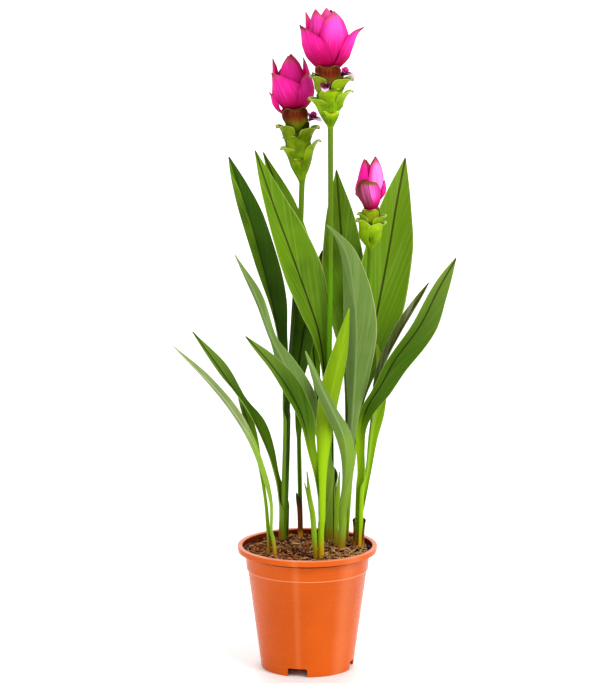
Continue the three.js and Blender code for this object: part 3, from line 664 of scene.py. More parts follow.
def add_rod(shell, rows, sides, steps, tone=(0, 0)):
    """A round rod through rows of x, y, z and radius, closed at both ends."""
    line = walk(spline([Vector(row[:3]) for row in rows], steps))
    radii = eased([row[3] for row in rows], steps)
    rings = []
    for (centre, forward, share_along, length), radius in zip(line, radii):
        guide = Vector((0, 1, 0)) if abs(forward.y) < 0.8 else Vector((1, 0, 0))
        right = (guide - forward * guide.dot(forward)).normalized()
        up = right.cross(forward)
        ring = []
        for j in range(sides):
            angle = tau * j / sides
            place = centre + right * (radius * cos(angle)) + up * (radius * sin(angle))
            share = (abs(angle / pi - 1), share_along)
            ring.append(shell.point(place, share, (radius * abs(angle - pi), length), tone))
        rings.append(ring)
    shell.tube(rings)


# The pot: a profile turned round the axis, then notched and drilled
def arc(centre, radius, start, end, count=5):
    turns = [radians(start + (end - start) * i / count) for i in range(count + 1)]
    return [(centre[0] + radius * cos(a), centre[1] + radius * sin(a)) for a in turns]


def skirt_inside(z):
    top = POT_HEIGHT - COLLAR_DEPTH
    return FOOT_RADIUS - WALL + (COLLAR_FOOT_RADIUS - COLLAR_STEP - FOOT_RADIUS) * z / top


def pot_profile():
    wall_top = POT_HEIGHT - LIP_HEIGHT
    step = POT_HEIGHT - COLLAR_DEPTH
    crown = POT_HEIGHT - LIP_ROUND
    small = EDGE_ROUND
    return [
        (0, 0),
        (BOSS_RADIUS, 0),
        (BOSS_RADIUS, FLOOR_Z),
        (skirt_inside(FLOOR_Z), FLOOR_Z),
        (skirt_inside(0), 0),
        *arc((FOOT_RADIUS - small, small), small, -90, 0),
        (COLLAR_FOOT_RADIUS - COLLAR_STEP, step - COLLAR_STEP - small),
        *arc((COLLAR_FOOT_RADIUS - small, step), small, -60, 0),
        (COLLAR_RADIUS - small, wall_top - FLARE - small),
        (COLLAR_RADIUS, wall_top - FLARE + small),
        (LIP_INNER_RADIUS + WALL, wall_top),
        (LIP_INNER_RADIUS + WALL, POT_HEIGHT - WALL),
        (RIM_RADIUS - WALL, POT_HEIGHT - WALL),
        (RIM_RADIUS - WALL, wall_top),
        (RIM_RADIUS - small, wall_top),
        *arc((RIM_RADIUS - LIP_ROUND, crown), LIP_ROUND, 0, 90),
        *arc((LIP_INNER_RADIUS + LIP_ROUND, crown), LIP_ROUND, 90, 180),
        (LIP_INNER_RADIUS, wall_top),
        (COLLAR_RADIUS - WALL, wall_top - FLARE),
        (COLLAR_FOOT_RADIUS - WALL, step),
        (skirt_inside(FLOOR_Z + WALL), FLOOR_Z + WALL),
        (0, FLOOR_Z + WALL),
    ]


def turned(shell, profile, sides):
    rings = []
    for radius, z in profile:
        places = circle(radius, sides, 0.5) if radius else [(0, 0)]
        rings.append([shell.point((x, y, z)) for x, y in places])
    for first, second in zip(rings, rings[1:]):
        if len(first) == 1 or len(second) == 1:
            hub, ring = (first[0], second) if len(first) == 1 else (second[0], first)
            for j in range(sides):
                shell.face((hub, ring[j], ring[(j + 1) % sides]))
        else:
            shell.band(first, second)


def add_notch(shell, turn):
    """A block with a round top, through the pot's foot at a compass turn."""
    half = NOTCH_WIDTH / 2
    shoulder = NOTCH_HEIGHT - NOTCH_ROUND
    outline = [(-half, -2 * CUT_OVER), (half, -2 * CUT_OVER), (half, shoulder)]
    outline += arc((half - NOTCH_ROUND, shoulder), NOTCH_ROUND, 0, 90)[1:]
    outline += arc((NOTCH_ROUND - half, shoulder), NOTCH_ROUND, 90, 180)
    start = len(shell.points)
    reaches = (FOOT_RADIUS - NOTCH_REACH, FOOT_RADIUS + NOTCH_REACH)
    shell.tube([[shell.point((reach, x, z)) for x, z in outline] for reach in reaches])
    shell.moved(Matrix.Rotation(radians(turn), 4, "Z"), start)


def cut(target, cutters):
    """Cuts a shell's forms out of a piece, and leaves it as one plain mesh."""
    cutter = stand("cutter", cutters.mesh("cutter"))
    change = target.modifiers.new("cut", "BOOLEAN")
    change.operation = "DIFFERENCE"
    change.solver = "EXACT"
    change.object = cutter
    graph = bpy.context.evaluated_depsgraph_get()
    result = bpy.data.meshes.new_from_object(target.evaluated_get(graph))
    target.modifiers.clear()
    target.data = result
    bpy.data.objects.remove(cutter)
    smooth(result, CREASE)


def make_pot():
    shell = Shell()
    turned(shell, pot_profile(), POT_SIDES)
    pot = shell.piece("nursery_pot", [POT_SKIN], "pot_orange", ["pot"])
    cutters = Shell()
    for i in range(NOTCHES):
        add_notch(cutters, NOTCH_TURN + 360 * i / NOTCHES)
    for x, y in circle(DRAIN_RING, DRAIN_HOLES):
        ends = [(x, y, z, DRAIN_RADIUS) for z in (FLOOR_Z - CUT_OVER, FLOOR_Z + WALL + CUT_OVER)]
        add_rod(cutters, ends, 24, 1)
    cut(pot, cutters)


make_pot()


# The soil: a lumpy top in a skirt that fills the pot, with bark chips and coir fibres on it
def soil_height(x, y):
    mound = MOUND_HEIGHT * exp(-((x - MOUND_X) ** 2 + (y - MOUND_Y) ** 2) / MOUND_SPREAD)
    lump = noise.noise(Vector((x, y, 0.0)) * LUMP_SCALE) * LUMP_HEIGHT
    crumb = noise.noise(Vector((x, y, 0.3)) * CRUMB_SCALE) * CRUMB_HEIGHT
    return SOIL_Z + mound + lump + crumb


def make_soil():
    shell = Shell()
    wall = [
        (skirt_inside(FLOOR_Z + WALL), FLOOR_Z + WALL),
        (COLLAR_FOOT_RADIUS - WALL, POT_HEIGHT - COLLAR_DEPTH),
        (COLLAR_RADIUS - WALL, SOIL_EDGE_Z),
    ]
    rings = []
    for radius, z in wall:
        rings.append([shell.point((x, y, z)) for x, y in circle(radius - SOIL_GAP, SOIL_SIDES)])
    for i in range(SOIL_RINGS):
        places = circle(SOIL_EDGE * (1 - i / SOIL_RINGS), SOIL_SIDES)
        rings.append([shell.point((x, y, soil_height(x, y))) for x, y in places])
    shell.tube(rings)
    shell.piece("soil_filling", [SOIL_SKIN], "soil_brown", ["soil"], 180)


def scatter(count, reach):
    for _ in range(count):
        radius = reach * sqrt(random.random())
        angle = random.uniform(0, tau)
        x, y = radius * cos(angle), radius * sin(angle)
        yield x, y, soil_height(x, y)


def make_bark():
    shell = Shell()
    for x, y, z in scatter(CHIPS, CHIP_REACH):
        start = len(shell.points)
        size = random.uniform(0.0012, 0.0042)
        thin = random.uniform(0.25, 0.6)
        sides = random.randint(5, 7)
        pale = 0.6 * random.random() ** 6
        rings = []
        for level in (-1, 0, 1):
            width = size * (0.72 if level else 1.0)
            ring = []
            for j in range(sides):
                angle = tau * (j + random.uniform(-0.25, 0.25)) / sides
                near = width * random.uniform(0.75, 1.1)
                place = (near * cos(angle), 0.6 * near * sin(angle), level * thin * size * 0.5)
                ring.append(shell.point(place, tone=(pale, 0)))
            rings.append(ring)
        shell.tube(rings)
        turn = Matrix.Rotation(random.uniform(0, tau), 4, "Z")
        tip = Matrix.Rotation(random.uniform(-0.7, 0.7), 4, "X")
        shell.moved(Matrix.Translation((x, y, z + CHIP_LIFT)) @ turn @ tip, start)
    shell.piece("bark_chips", [BARK_SKIN], "soil_brown", (), 25)


def make_fibres():
    shell = Shell()
    for x, y, _ in scatter(FIBRES, FIBRE_REACH):
        length = random.uniform(0.003, 0.012)
        heading = random.uniform(0, tau)
        bend = random.uniform(-1.2, 1.2)
        radius = random.uniform(0.00015, 0.00042)
        rows = []
        for part in (0, 1 / 3, 2 / 3, 1):
            turn = heading + bend * part
            px = x + length * (part - 0.5) * cos(turn)
            py = y + length * (part - 0.5) * sin(turn)
            near = hypot(px, py)
            if near > FIBRE_LIMIT:
                px, py = px * FIBRE_LIMIT / near, py * FIBRE_LIMIT / near
            rise = FIBRE_LIFT + FIBRE_ARCH * sin(pi * part) * random.random()
            rows.append((px, py, soil_height(px, py) + rise, radius * (1.0 if 0 < part < 1 else 0.5)))
        pale = random.random() ** (3.0 if x < PALE_FIBRES_X else 1.2)
        add_rod(shell, rows, 5, 2, (pale, 0))
    shell.piece("coir_fibres", [FIBRE_SKIN], "soil_brown", (), 60)


make_soil()
make_bark()
make_fibres()


# The shoots: where each stands at soil height in millimetres, and its lean in X and Y
SHOOTS = {
    "slender": (-29.5, -24, -0.08, -0.02),
    "sliver": (-35.5, -20, 0, 0.02),
    "left": (-22.5, 40, 0.03, 0),
    "thin": (-6, 49, -0.02, 0),
    "front": (12.5, -28, 0, 0),
    "fork": (7, -33, -0.09, -0.06),
    "back": (13, 46, -0.02, 0.02),
    "tall": (20.5, 28, 0, 0),
    "spear": (26.5, 13, 0.05, 0),
    "grey": (31.5, -2, 0.06, 0),
    "bud": (33.5, 25, 0.07, 0),
    "right": (47.8, 6, 0.02, 0),
    "edge": (45.8, 17.5, 0.11, 0),
}


def shoot_at(name, z):
    x, y, lean_x, lean_y = SHOOTS[name]
    return x * MM + lean_x * (z - SOIL_Z), y * MM + lean_y * (z - SOIL_Z)


def sheath_rows(shoot, ring, turn, mouth):
    """A sheath wraps its shoot from inside the soil to its mouth, where it opens."""
    radius, mouth, angle = ring * MM, mouth * MM, radians(turn)
    levels = (
        (STEM_FOOT_Z, radius, SHEATH_WRAP),
        (mouth - MOUTH_RISE, radius, SHEATH_WRAP),
        (mouth, radius + MOUTH_LIFT, MOUTH_WRAP),
    )
    rows = []
    for z, reach, wrap in levels:
        x, y = shoot_at(shoot, z)
        x, y = x - reach * sin(angle), y + reach * cos(angle)
        rows.append((x, y, z, reach * radians(wrap), 0, wrap, turn))
    return rows


def metres(rows):
    """A table's rows, whose first four values are in millimetres."""
    return [(*(value * MM for value in row[:4]), *row[4:]) for row in rows]


# The leaves
LEAF_KINDS = {
    "silvery": (SILVER_FACE, SILVER_FACE, "leaf_lime"),
    "green": (GREEN_FACE, PALE_BACK, "leaf_green"),
    "deep": (DEEP_FACE, PALE_BACK, "leaf_dark"),
    "half lit": (HALF_LIT_FACE, PALE_BACK, "leaf_dark"),
    "bronze": (BRONZE_FACE, PALE_BACK, "leaf_dark"),
    "lime": (LIME_BACK, LIME_BACK, "leaf_lime"),
    "grey": (GREEN_FACE, GREY_BACK, "leaf_grey"),
}


def make_leaf(number, name, kind, wave, light, fresh, shoot, ring, turn, mouth, rows):
    """wave is the ripple of the margins, which the number shifts along, and light and fresh say how
    light the face and how lime the stalk is. The sheath has a shoot, its ring's radius, its turn and
    its mouth's height. A row is the midrib's x, y and z, half-width, fold, wrap and turn, as in
    the part."""
    upper, under, slot = LEAF_KINDS[kind]
    shell = Shell()
    rib = [*sheath_rows(shoot, ring, turn, mouth), *metres(rows)]
    phase = number * RIPPLE_STEP
    add_blade(shell, rib, LEAF_THICKNESS, 16, 8, (light, fresh), wave * MM, 0, phase)
    shell.piece("blade_" + name, [upper, under], slot, ["leaf_" + name])


make_leaf(0, "slender_lime", "silvery", 0.5, 0.1, 0.8, "slender", 1.7, 90, 135, [
    (-34.5, -26, 160, 3.2, 20, 80, 85),
    (-41, -32, 187, 5, 30, 30, 80),
    (-54, -43, 224, 7.5, 30, 20, 78),
    (-70, -56, 254, 8, 30, 18, 78),
    (-89, -70, 282, 7, 28, 16, 75),
    (-120, -88, 320, 0.6, 15, 10, 70),
])
make_leaf(1, "slender_dark", "deep", 0.4, 0.2, 0.5, "sliver", 1.3, 60, 135, [
    (-40, -12, 162, 2.5, 20, 60, 60),
    (-47, 18, 194, 4, 30, 20, 50),
    (-54, 32, 217, 6, 25, 15, 40),
    (-60, 38, 238, 5.5, 25, 15, 30),
    (-66, 42, 257, 0.6, 10, 10, 30),
])
make_leaf(2, "left_outer", "deep", 0.6, 0.35, 0.2, "left", 4.5, 45, 148, [
    (-30, 42, 170, 5, 10, 55, 60),
    (-37, 38, 196, 7, 20, 30, 60),
    (-47, 31, 222, 9, 20, 25, 60),
    (-62, 22, 248, 6, 30, 20, 60),
    (-80, 15, 277, 8, 20, 20, 50),
    (-106, 6, 316, 0.6, 10, 10, 50),
])
make_leaf(3, "left_tall", "half lit", 0.8, 0.1, 0.1, "left", 3.2, 45, 235, [
    (-22.5, 46, 258, 5, 20, 50, 45),
    (-27, 47, 300, 9, 35, 20, 45),
    (-33, 48, 335, 14, 35, 14, 40),
    (-43, 51, 375, 16, 32, 12, 30),
    (-53, 53, 412, 14, 30, 12, 22),
    (-63, 56, 442, 9, 28, 10, 18),
    (-73, 58, 472, 0.6, 10, 10, 15),
])
make_leaf(4, "thin_back", "deep", 0.6, 0.2, 0.3, "thin", 1.8, 0, 215, [
    (-9, 51, 240, 4, 20, 50, 0),
    (-9, 50, 265, 7, 18, 22, 0),
    (-6, 49, 292, 11, 14, 14, 0),
    (-1, 49, 322, 12, 14, 14, 5),
    (6, 50, 352, 8, 14, 14, 5),
    (14, 50, 385, 0.6, 10, 10, 5),
])
make_leaf(5, "front_lime", "lime", 0.6, 0.3, 0.9, "front", 2.7, -135, 148, [
    (14.8, -31.5, 172, 4.5, 0, 60, -150),
    (15.5, -31, 205, 6.2, 5, 50, -160),
    (17.5, -28.5, 235, 10, 8, 45, -165),
    (22, -27, 265, 11.5, 10, 40, -165),
    (29, -24, 295, 9, 12, 30, -165),
    (38, -19, 342, 0.6, 10, 10, -165),
])
make_leaf(6, "front_dark", "deep", 0.9, 0.25, 0.5, "front", 1.8, 45, 168, [
    (7, -28, 190, 4.5, 10, 60, 45),
    (1, -32, 215, 7, 25, 35, 42),
    (-5, -37, 244, 11.5, 30, 20, 38),
    (-18, -43, 272, 12, 30, 18, 38),
    (-33, -49, 295, 9, 30, 15, 38),
    (-56, -56, 323, 0.6, 10, 10, 38),
])
make_leaf(7, "tall_outer", "grey", 0.8, 0.2, 0.3, "tall", 5, 135, 187, [
    (13.5, 17, 207, 6, 0, 60, 150),
    (7.5, 5, 230, 9, 15, 40, 165),
    (-6, -8, 262, 12, 15, 30, 175),
    (-20, -13, 288, 10, 18, 25, 175),
    (-33, -14, 314, 5, 25, 20, 160),
    (-46, -14, 350, 6, 22, 18, 150),
    (-66, -16, 391, 0.6, 10, 10, 150),
])
make_leaf(8, "tall_broad", "green", 0.9, 0.15, 0.0, "tall", 4, 45, 220, [
    (16.5, 31, 245, 6.5, 10, 80, 40),
    (15, 30, 278, 8, 20, 45, 34),
    (10, 28, 312, 12.5, 18, 28, 31),
    (2, 25, 338, 19, 18, 22, 30),
    (-7, 23, 364, 23, 18, 22, 29),
    (-19, 20, 398, 20.5, 18, 22, 29),
    (-32, 17, 434, 13, 18, 20, 27),
    (-48, 15, 483, 0.6, 10, 10, 27),
])
make_leaf(9, "back", "green", 0.6, 0.3, 0.3, "back", 1.8, 0, 215, [
    (10, 52, 245, 4, 20, 50, 0),
    (6, 56, 285, 7, 20, 30, 5),
    (0, 60, 330, 12, 18, 20, 10),
    (-8, 61, 375, 15, 16, 18, 15),
    (-20, 60, 420, 12, 16, 16, 20),
    (-41, 59, 476, 0.6, 10, 10, 20),
])
make_leaf(10, "bud_left", "green", 0.7, 0.05, 0.6, "bud", 3.2, 45, 205, [
    (37, 33, 232, 5, 10, 50, 35),
    (39.5, 42, 275, 9, 20, 25, 15),
    (38, 47, 320, 17, 10, 16, 5),
    (34, 49, 365, 20.5, 8, 14, 0),
    (31, 51, 408, 15.5, 8, 14, 0),
    (27, 55, 460, 0.6, 8, 10, 0),
])
make_leaf(11, "bud_right", "green", 0.9, 0.4, 0.9, "bud", 4.5, -90, 188, [
    (47.5, 27, 215, 5.5, 0, 55, -75),
    (52.5, 31, 258, 10, 15, 30, -35),
    (59.5, 34, 300, 19, 10, 18, -8),
    (68, 37, 345, 25, 8, 16, 0),
    (76, 42, 388, 23, 8, 16, 0),
    (83, 48, 430, 14, 8, 16, 0),
    (91, 57, 471, 0.6, 8, 10, 0),
])
make_leaf(12, "grey_front", "grey", 0.8, 0.3, 0.0, "grey", 2.2, 180, 165, [
    (38, -6, 195, 4.5, 0, 80, 175),
    (41.5, -9, 238, 6, 15, 35, 165),
    (44, -13, 282, 14, 14, 25, 155),
    (45, -17, 322, 18.5, 12, 22, 150),
    (42, -21, 360, 16, 14, 20, 150),
    (35, -25, 394, 9, 18, 15, 150),
    (27, -28, 409, 4, 15, 12, 150),
    (17, -31, 421, 0.6, 10, 10, 150),
])
make_leaf(13, "grey_narrow", "grey", 0.7, 0.3, 0.35, "grey", 3.4, 135, 148, [
    (35, -10.5, 175, 6, 0, 60, 150),
    (36, -17, 200, 8.5, 15, 45, 165),
    (33, -31, 225, 9, 25, 25, 190),
    (24, -43, 249, 8, 35, 20, 205),
    (12, -53, 277, 6, 35, 18, 210),
    (-2, -64, 311, 0.6, 15, 10, 210),
])
make_leaf(14, "right_front", "deep", 0.9, 0.5, 1.0, "right", 3.6, -45, 178, [
    (50.5, 9.5, 205, 5, 0, 60, -30),
    (50, 4, 226, 6, 15, 45, -5),
    (55, -1, 246, 8.5, 25, 30, 8),
    (67.5, -9, 269, 12.5, 28, 20, 13),
    (80, -16, 294, 14.5, 28, 16, 15),
    (102.5, -26, 328, 15.5, 28, 14, 15),
    (118, -35, 362, 10, 25, 12, 12),
    (134, -40, 392, 0.6, 10, 10, 10),
])
make_leaf(15, "edge_brown", "bronze", 0.5, 0.2, 0.5, "edge", 1.8, -90, 180, [
    (60, 17, 210, 4, 15, 55, -80),
    (64, 15, 245, 5, 30, 35, -65),
    (71, 9, 283, 6.5, 35, 30, -50),
    (85, 3, 316, 7, 35, 28, -40),
    (100, -3, 344, 4.5, 28, 22, -40),
    (111, -7, 364, 0.6, 10, 10, -40),
])
make_leaf(16, "edge_lime", "lime", 0.5, 0.15, 0.7, "edge", 2.7, 0, 150, [
    (56.5, 24.5, 178, 3.2, 10, 50, 10),
    (60.5, 26, 210, 5, 15, 30, 10),
    (65, 25, 238, 7.5, 18, 20, 20),
    (67.5, 21, 262, 6.5, 18, 18, 20),
    (67, 19, 282, 4, 18, 15, 20),
    (64.5, 18, 302, 0.6, 10, 10, 20),
])


# Young leaves still rolled up as spears: rows of x, y, z and radius
def make_spear(name, shoot, radius, rows, finish, side_tip=()):
    shell = Shell()
    foot = (*shoot_at(shoot, STEM_FOOT_Z), STEM_FOOT_Z, radius * MM)
    add_rod(shell, [foot, *metres(rows)], 20, 8, (0.4, 0.3))
    if side_tip:
        add_rod(shell, metres(side_tip), 16, 6, (0.1, 0.3))
    shell.piece("rolled_" + name, [finish], "leaf_lime", ["spear_" + name])


FORK_SPEAR = [(5, -34, 150, 2.6), (2, -36, 170, 2), (-0.5, -37.5, 194, 0.5)]
FORK_TIP = [(3, -35.5, 158, 1.8), (0.7, -36.6, 170, 1.4), (-2.8, -37.8, 183.4, 0.4)]
CENTRE_SPEAR = [(28, 13, 150, 2.4), (30, 13, 182, 0.5)]
make_spear("fork", "fork", 1.7, FORK_SPEAR, GREEN_FACE, FORK_TIP)
make_spear("centre", "spear", 1.8, CENTRE_SPEAR, LIME_BACK)


# The scapes, the round stems that carry the flower heads, each clear of its sheaths from a height on
def make_scape(name, clear, finish, rows):
    shell = Shell()
    levels = (STEM_FOOT_Z, clear * MM - MOUTH_RISE, clear * MM)
    inside = [(*shoot_at(name, z), z, SCAPE_RADIUS) for z in levels]
    add_rod(shell, [*inside, *metres(rows)], 24, 10)
    shell.piece("stem_" + name, [finish], "scape_green", ["scape_" + name])


make_scape("tall", 240, SCAPE_SKIN, [
    (20.3, 25, 300, 2.6),
    (21, 21, 352, 2.5),
    (21.2, 15, 437, 2.4),
    (21, 10, 504, 2.5),
])
make_scape("left", 256, DARK_SCAPE_SKIN, [
    (-14.5, 40, 297, 2.5),
    (-11, 40.5, 350, 2.5),
    (-7, 41, 396, 2.5),
    (-5, 42, 449, 2.6),
])
make_scape("bud", 215, SCAPE_SKIN, [
    (49, 22, 275, 2.5),
    (54, 17, 325, 2.5),
    (57, 13, 361, 2.5),
    (58, 12, 391, 2.6),
])


# Bladeless scale sheaths round the feet of four shoots
LIP_SPREAD = 1.3
SCALE_TIP = 0.0008


def make_scale(shoot, ring, turn, mouth, tip, finish):
    foot, neck, (x, y, z, half, fold, wrap, turn) = sheath_rows(shoot, ring, turn, mouth)
    lip = (x, y, z, half * LIP_SPREAD, fold, wrap * LIP_SPREAD, turn)
    shell = Shell()
    rows = [foot, neck, lip, (x, y, z + tip * MM, SCALE_TIP, 0, 10, turn)]
    add_blade(shell, rows, SCALE_THICKNESS, 16, 10, wave=SMALL_RIPPLE)
    shell.piece("scale_" + shoot, [finish, finish], "sheath_brown", ["sheath_" + shoot])


make_scale("tall", 6.8, 0, 172, 14, DARK_SHEATH)
make_scale("thin", 2.7, 90, 148, 6, DRY_SHEATH)
make_scale("edge", 3.8, 180, 132, 8, DRY_SHEATH)
make_scale("right", 5, 0, 136, 4, OLIVE_SHEATH)


# The flower heads. Each stands in a frame of its own, with Z up the head from the scape's top,
# and a bract springs from the head's axis at a compass angle from +X.
CUP_CURL = 0.001
FLORET_RIPPLE = 0.0004
FLORET_TILT = 50


def add_bract(shell, angle, base, rows, tone, across=14, wave=SMALL_RIPPLE, curl=0):
    """A row is the midrib's distance out and height, half-width, fold, wrap and swing round the head."""
    rib = []
    for reach, height, half, fold, wrap, swing in rows:
        turn = radians(angle + swing)
        x, y = reach * MM * cos(turn), reach * MM * sin(turn)
        rib.append((x, y, (base + height) * MM, half * MM, fold, wrap, angle + swing - 90))
    add_blade(shell, rib, BRACT_THICKNESS, across, 7, tone, wave, curl, angle * 0.1)


def wrap_round(half, radius):
    """How far a bract wraps to follow a circle round the head's axis."""
    return degrees(half / radius)


def cup_rows(reach, rise, width, belly, low=0.4):
    """A green bract wraps the head as a cup: as wide as belly a low share up, its tip curled out."""
    shoulder = 0.45 * (belly + reach)
    return [
        (2.5, 0, 4, 0, 80, 0),
        (belly, low * rise, 0.8 * width, 0, wrap_round(0.8 * width, belly), 0),
        (shoulder, 0.8 * rise, width, 0, wrap_round(width, shoulder), 0),
        (0.87 * reach, rise, 0.6 * width, 5, wrap_round(0.6 * width, reach), 0),
        (reach, 0.98 * rise, 0.8, 5, 10, 0),
    ]


def petal_rows(belly, reach, rise, width, swing, taper=0.62):
    """A pink bract stands up like a petal, bellied out at its middle, and its tip may swing aside.

    taper is the share of its width that it still has near its tip."""
    waist = 0.78 * belly
    return [
        (3, 0, 4, 0, 60, 0),
        (waist, 0.32 * rise, 0.92 * width, 0, wrap_round(0.92 * width, waist), 0),
        (belly, 0.56 * rise, width, 4, 50, 0.3 * swing),
        (0.55 * belly + 0.45 * reach, 0.86 * rise, taper * width, 6, 60 * taper, 0.8 * swing),
        (reach, rise, 0.8, 10, 10, swing),
    ]


def add_floret(shell, angle, out, base, size, dark):
    """A short tube that opens into a wide pale lip and, above it, two short pink lobes of a hood."""
    for turn, pink, long, wide in ((-120, 1.0, 1.0, 0.5), (0, 0.0, 1.35, 0.75), (120, 1.0, 1.0, 0.5)):
        rows = [
            (0.3, 0, 0.8, 0, 60, 0),
            (0.5 * size, 0.6 * size * long, wide * size, 5, 40, 0),
            (0.85 * size * long, 0.9 * size * long, 0.7 * wide * size, 5, 30, 0),
            (size * long, size * long, 0.5, 5, 10, 0),
        ]
        add_bract(shell, turn, 0, rows, (pink, dark), 8, FLORET_RIPPLE)
    low, high = -0.5 * size * MM, 0.2 * size * MM
    add_rod(shell, [(0, 0, low, 0.0008), (0, 0, high, 0.0009)], 12, 3)
    turn = radians(angle)
    tilt = Matrix.Rotation(radians(FLORET_TILT), 4, "Y")
    aim = Matrix.Rotation(turn, 4, "Z")
    place = Vector((out * cos(turn), out * sin(turn), base)) * MM
    shell.moved(Matrix.Translation(place) @ aim @ tilt)


def head_frame(foot, top):
    up = (top - foot).normalized()
    right = (Vector((1, 0, 0)) - up * up.x).normalized()
    back = up.cross(right)
    return Matrix.Translation(foot) @ Matrix((right, back, up)).transposed().to_4x4()


def add_core(shell, levels):
    add_rod(shell, [(0, 0, z * MM, radius * MM) for z, radius in levels], 20, 4)


def make_head(head, foot, top, green_top, cups, petals, florets):
    """A cup is its angle, base, reach, rise, width and belly, then how brown and how lit it is,
    and last, where it isn't the usual one, the share of its rise that its belly is at.

    A petal is its angle, base, belly, reach, rise, width and swing, then how pale and how
    brown-tipped it is, and last, where it isn't the usual one, its taper.
    A floret is its angle, distance out, base and size, then how maroon its hood is."""
    frame_of_head = head_frame(Vector(foot) * MM, Vector(top) * MM)
    green = Shell()
    add_core(green, [(-0.9, 2.55), (10, 4.5), (green_top, 5)])
    for angle, base, reach, rise, width, belly, brown, lit, *low in cups:
        rows = cup_rows(reach, rise, width, belly, *low)
        add_bract(green, angle, base, rows, (brown, lit), curl=CUP_CURL)
    green.moved(frame_of_head)
    green.piece("cups_" + head, [CUP_SKIN] * 2, "bract_green", ["bracts_green_" + head])
    pink = Shell()
    low = green_top + 0.3
    add_core(pink, [(low, 4.8), (low + 10, 9), (low + 20, 10), (low + 26, 1)])
    for angle, base, belly, reach, rise, width, swing, pale, brown, *taper in petals:
        rows = petal_rows(belly, reach, rise, width, swing, *taper)
        add_bract(pink, angle, base, rows, (pale, brown))
    pink.moved(frame_of_head)
    pink.piece("petals_" + head, [PETAL_SKIN] * 2, "bract_pink", ["bracts_pink_" + head])
    for number, spec in enumerate(florets, 1):
        floret = Shell()
        add_floret(floret, *spec)
        floret.moved(frame_of_head)
        name = f"{head}_{number}"
        floret.piece("small_flower_" + name, [FLORET_SKIN] * 2, "floret_white", ["floret_" + name])


make_head("tall", (21, 10, 504.3), (17.5, 6, 614), 44, cups=[
    (-85, 0.3, 12.6, 15, 13, 6.5, 0, 1.4),
    (192, 1.5, 20.5, 25, 16, 8.6, 0, 0.6),
    (-12, 8, 22.5, 25, 14, 10.4, 0, 0.9),
    (-78, 11, 14.5, 25, 14, 12.5, 0, 0.8, 0.26),
    (95, 7, 18, 22, 15, 9, 0.1, 0.6),
    (195, 26, 18.5, 21, 16.5, 12, 0.25, 0.5),
    (-20, 24, 23.5, 20, 17, 11, 0.15, 0.6),
    (75, 25, 19, 21, 14, 11, 0.2, 0.4),
    (203, 34, 16.5, 17, 10, 11, 0.8, 0.2),
    (-95, 33, 18.5, 24.5, 14, 13, 1, 0.2),
    (100, 34, 18, 22, 13, 12.5, 0.6, 0.2),
], petals=[
    (-66, 46, 21.5, 15, 62, 18, 0, 1.1, 0.35),
    (-136, 48, 24.5, 29, 48.5, 20, -14, 0.15, 1, 0.4),
    (-32, 49, 23.5, 34.5, 43.5, 12, 18, 0.6, 0.8),
    (165, 46, 20, 20, 60, 12, 0, 0, 0.4),
    (-130, 47, 18, 16, 63, 14, 0, 0.5, 0.4),
    (-95, 48, 11, 5, 62, 12, 0, 0.9, 0.1),
    (60, 50, 12, 7, 57, 12, 0, 0.5, 0.8),
    (108, 46, 20, 17, 55, 17, 0, 0.3, 0.5),
    (28, 46, 17.5, 12, 48, 15, 0, 0.4, 0.4),
], florets=[(-100, 16.5, 38, 5.5, 1), (-22, 12.2, 48, 7, 0.1)])
make_head("left", (-5, 42, 449.7), (-17, 40, 569), 58, cups=[
    (-85, 0.3, 11, 22, 11, 5.5, 0, 0.3),
    (192, 2, 17, 31, 16, 8, 0.1, 0.4),
    (-10, 3, 22, 34, 14, 9.5, 0.1, 0.5),
    (-80, 20, 14.5, 24, 14, 12, 0.2, 0, 0.26),
    (85, 12, 17, 24, 15, 10, 0, 0.5),
    (165, 22, 15, 21, 10, 11, 0.1, 0.5),
    (200, 33, 19.5, 21, 16.5, 12, 0.25, 0.2),
    (-20, 29, 22.5, 20.5, 17, 11, 0.25, 0.2),
    (80, 35, 17, 22, 14, 11, 0.3, 0.4),
    (-88, 46, 17.5, 24, 14, 12.5, 1, 0.2),
    (100, 47, 17.5, 22, 13, 12.5, 0.8, 0.2),
], petals=[
    (-112, 61, 20, 24, 45, 19, -24, 0.2, 0.6, 0.4),
    (-36, 62, 21.5, 19, 41, 14, 0, 0.35, 0.3),
    (-95, 61, 14, 7, 58, 13, 0, 0.3, 0.4),
    (170, 60, 17, 15.5, 57, 11, 0, 0.1, 0.6),
    (10, 60, 18, 13, 55, 12, 0, 0.2, 0.6),
    (75, 60, 15, 6, 59, 13, 0, 0.2, 0.3),
    (-170, 60, 19.5, 22, 27, 9, 0, 0, 0.7),
    (130, 60, 17, 14, 46, 14, 0, 0.2, 0.4),
], florets=[(-35, 15.5, 58, 7, 0.2)])
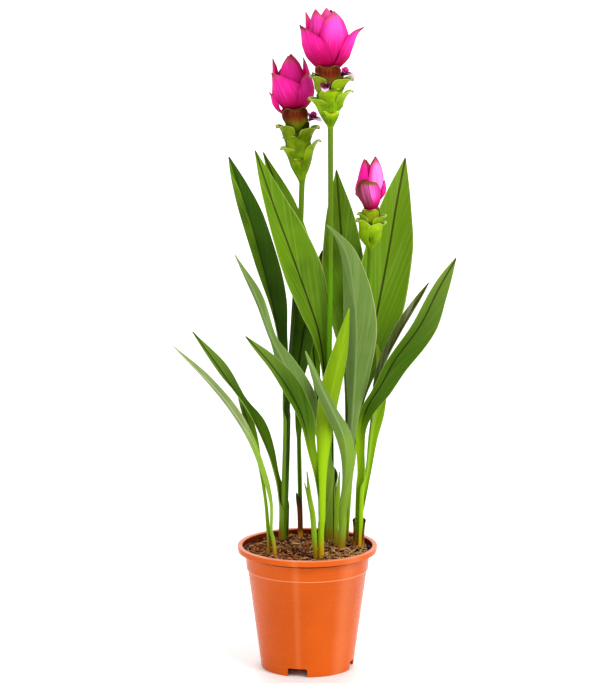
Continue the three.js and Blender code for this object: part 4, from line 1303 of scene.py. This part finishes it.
make_head("bud", (58, 12, 391.3), (58, 10, 478), 36, cups=[
    (192, 2, 13.5, 25, 16, 10, 0, 0.7),
    (-22, 2, 14.5, 22, 16, 9, 0, 0.8),
    (186, 14, 12.5, 19, 13, 9, 0.2, 0.5),
    (-14, 12, 15.5, 19, 13, 8, 0.15, 0.6),
    (-100, 20, 10.5, 18, 11, 8, 0.3, 0.5),
    (80, 20, 10.5, 18, 11, 8, 0.3, 0.4),
], petals=[
    (-106, 37, 14.6, 13, 30, 15, -18, 1.5, 1.6, 0.85),
    (-52, 37, 11.8, 7, 49, 11, 0, 2.0, 0.5),
    (-150, 37, 11.6, 7, 48, 10, 0, 0.1, 0.6),
    (45, 37, 11.6, 6, 49, 12, 0, 0.4, 0.6),
    (130, 37, 12.4, 7, 46, 12, 0, 0.3, 0.5),
    (176, 41, 14, 11.5, 25, 9, 0, 0.1, 0.7),
    (0, 42, 13.8, 12.5, 23, 9, 0, 0, 0.4),
], florets=[])


# The floor, the light and the camera
FLOOR_REACH = 16
FLOOR_DROP = 0.0002
CAMERA_PLACE = (-0.00685, -2.806, 0.826)
CAMERA_DIP = 10.46
CAMERA_LENS = 163.4
SKY_STRENGTH = 0.78


def make_floor():
    shell = Shell()
    corners = ((-1, -1), (1, -1), (1, 1), (-1, 1))
    shell.face([shell.point((x * FLOOR_REACH, y * FLOOR_REACH, -FLOOR_DROP)) for x, y in corners])
    floor = stand("floor", shell.mesh("floor"))
    floor.data.materials.append(floor_finish())


def lamp(name, place, aim, size, power, colour=(1.0, 1.0, 1.0)):
    light = bpy.data.lights.new(name, "AREA")
    light.shape = "DISK"
    light.size = size
    light.energy = power
    light.color = colour
    made = stand(name, light)
    made.location = place
    made.rotation_euler = (Vector(aim) - Vector(place)).to_track_quat("-Z", "Y").to_euler()


make_floor()
lamp("key", (1.6, -1.7, 1.9), (0, 0, 0.25), 1.3, 52, (1.0, 0.99, 0.97))
lamp("fill", (-1.9, -1.4, 1.2), (0, 0, 0.3), 1.6, 7, (0.97, 0.98, 1.0))
lamp("near floor", (0, 3.2, 3.4), (0, 3.2, 0), 4.0, 110)
lamp("far floor", (0, 8.5, 4.4), (0, 8.5, 0), 6.0, 240)

world = bpy.data.worlds.new("studio")
world.use_nodes = True
sky = world.node_tree.nodes["Background"]
sky.inputs["Color"].default_value = (1.0, 1.0, 1.0, 1.0)
sky.inputs["Strength"].default_value = SKY_STRENGTH
bpy.context.scene.world = world
bpy.context.scene.view_settings.view_transform = "Standard"

camera = stand("camera", bpy.data.cameras.new("camera"))
camera.data.lens = CAMERA_LENS
camera.data.sensor_width = 36
camera.location = CAMERA_PLACE
camera.rotation_euler = (radians(90 - CAMERA_DIP), 0, 0)
bpy.context.scene.camera = camera
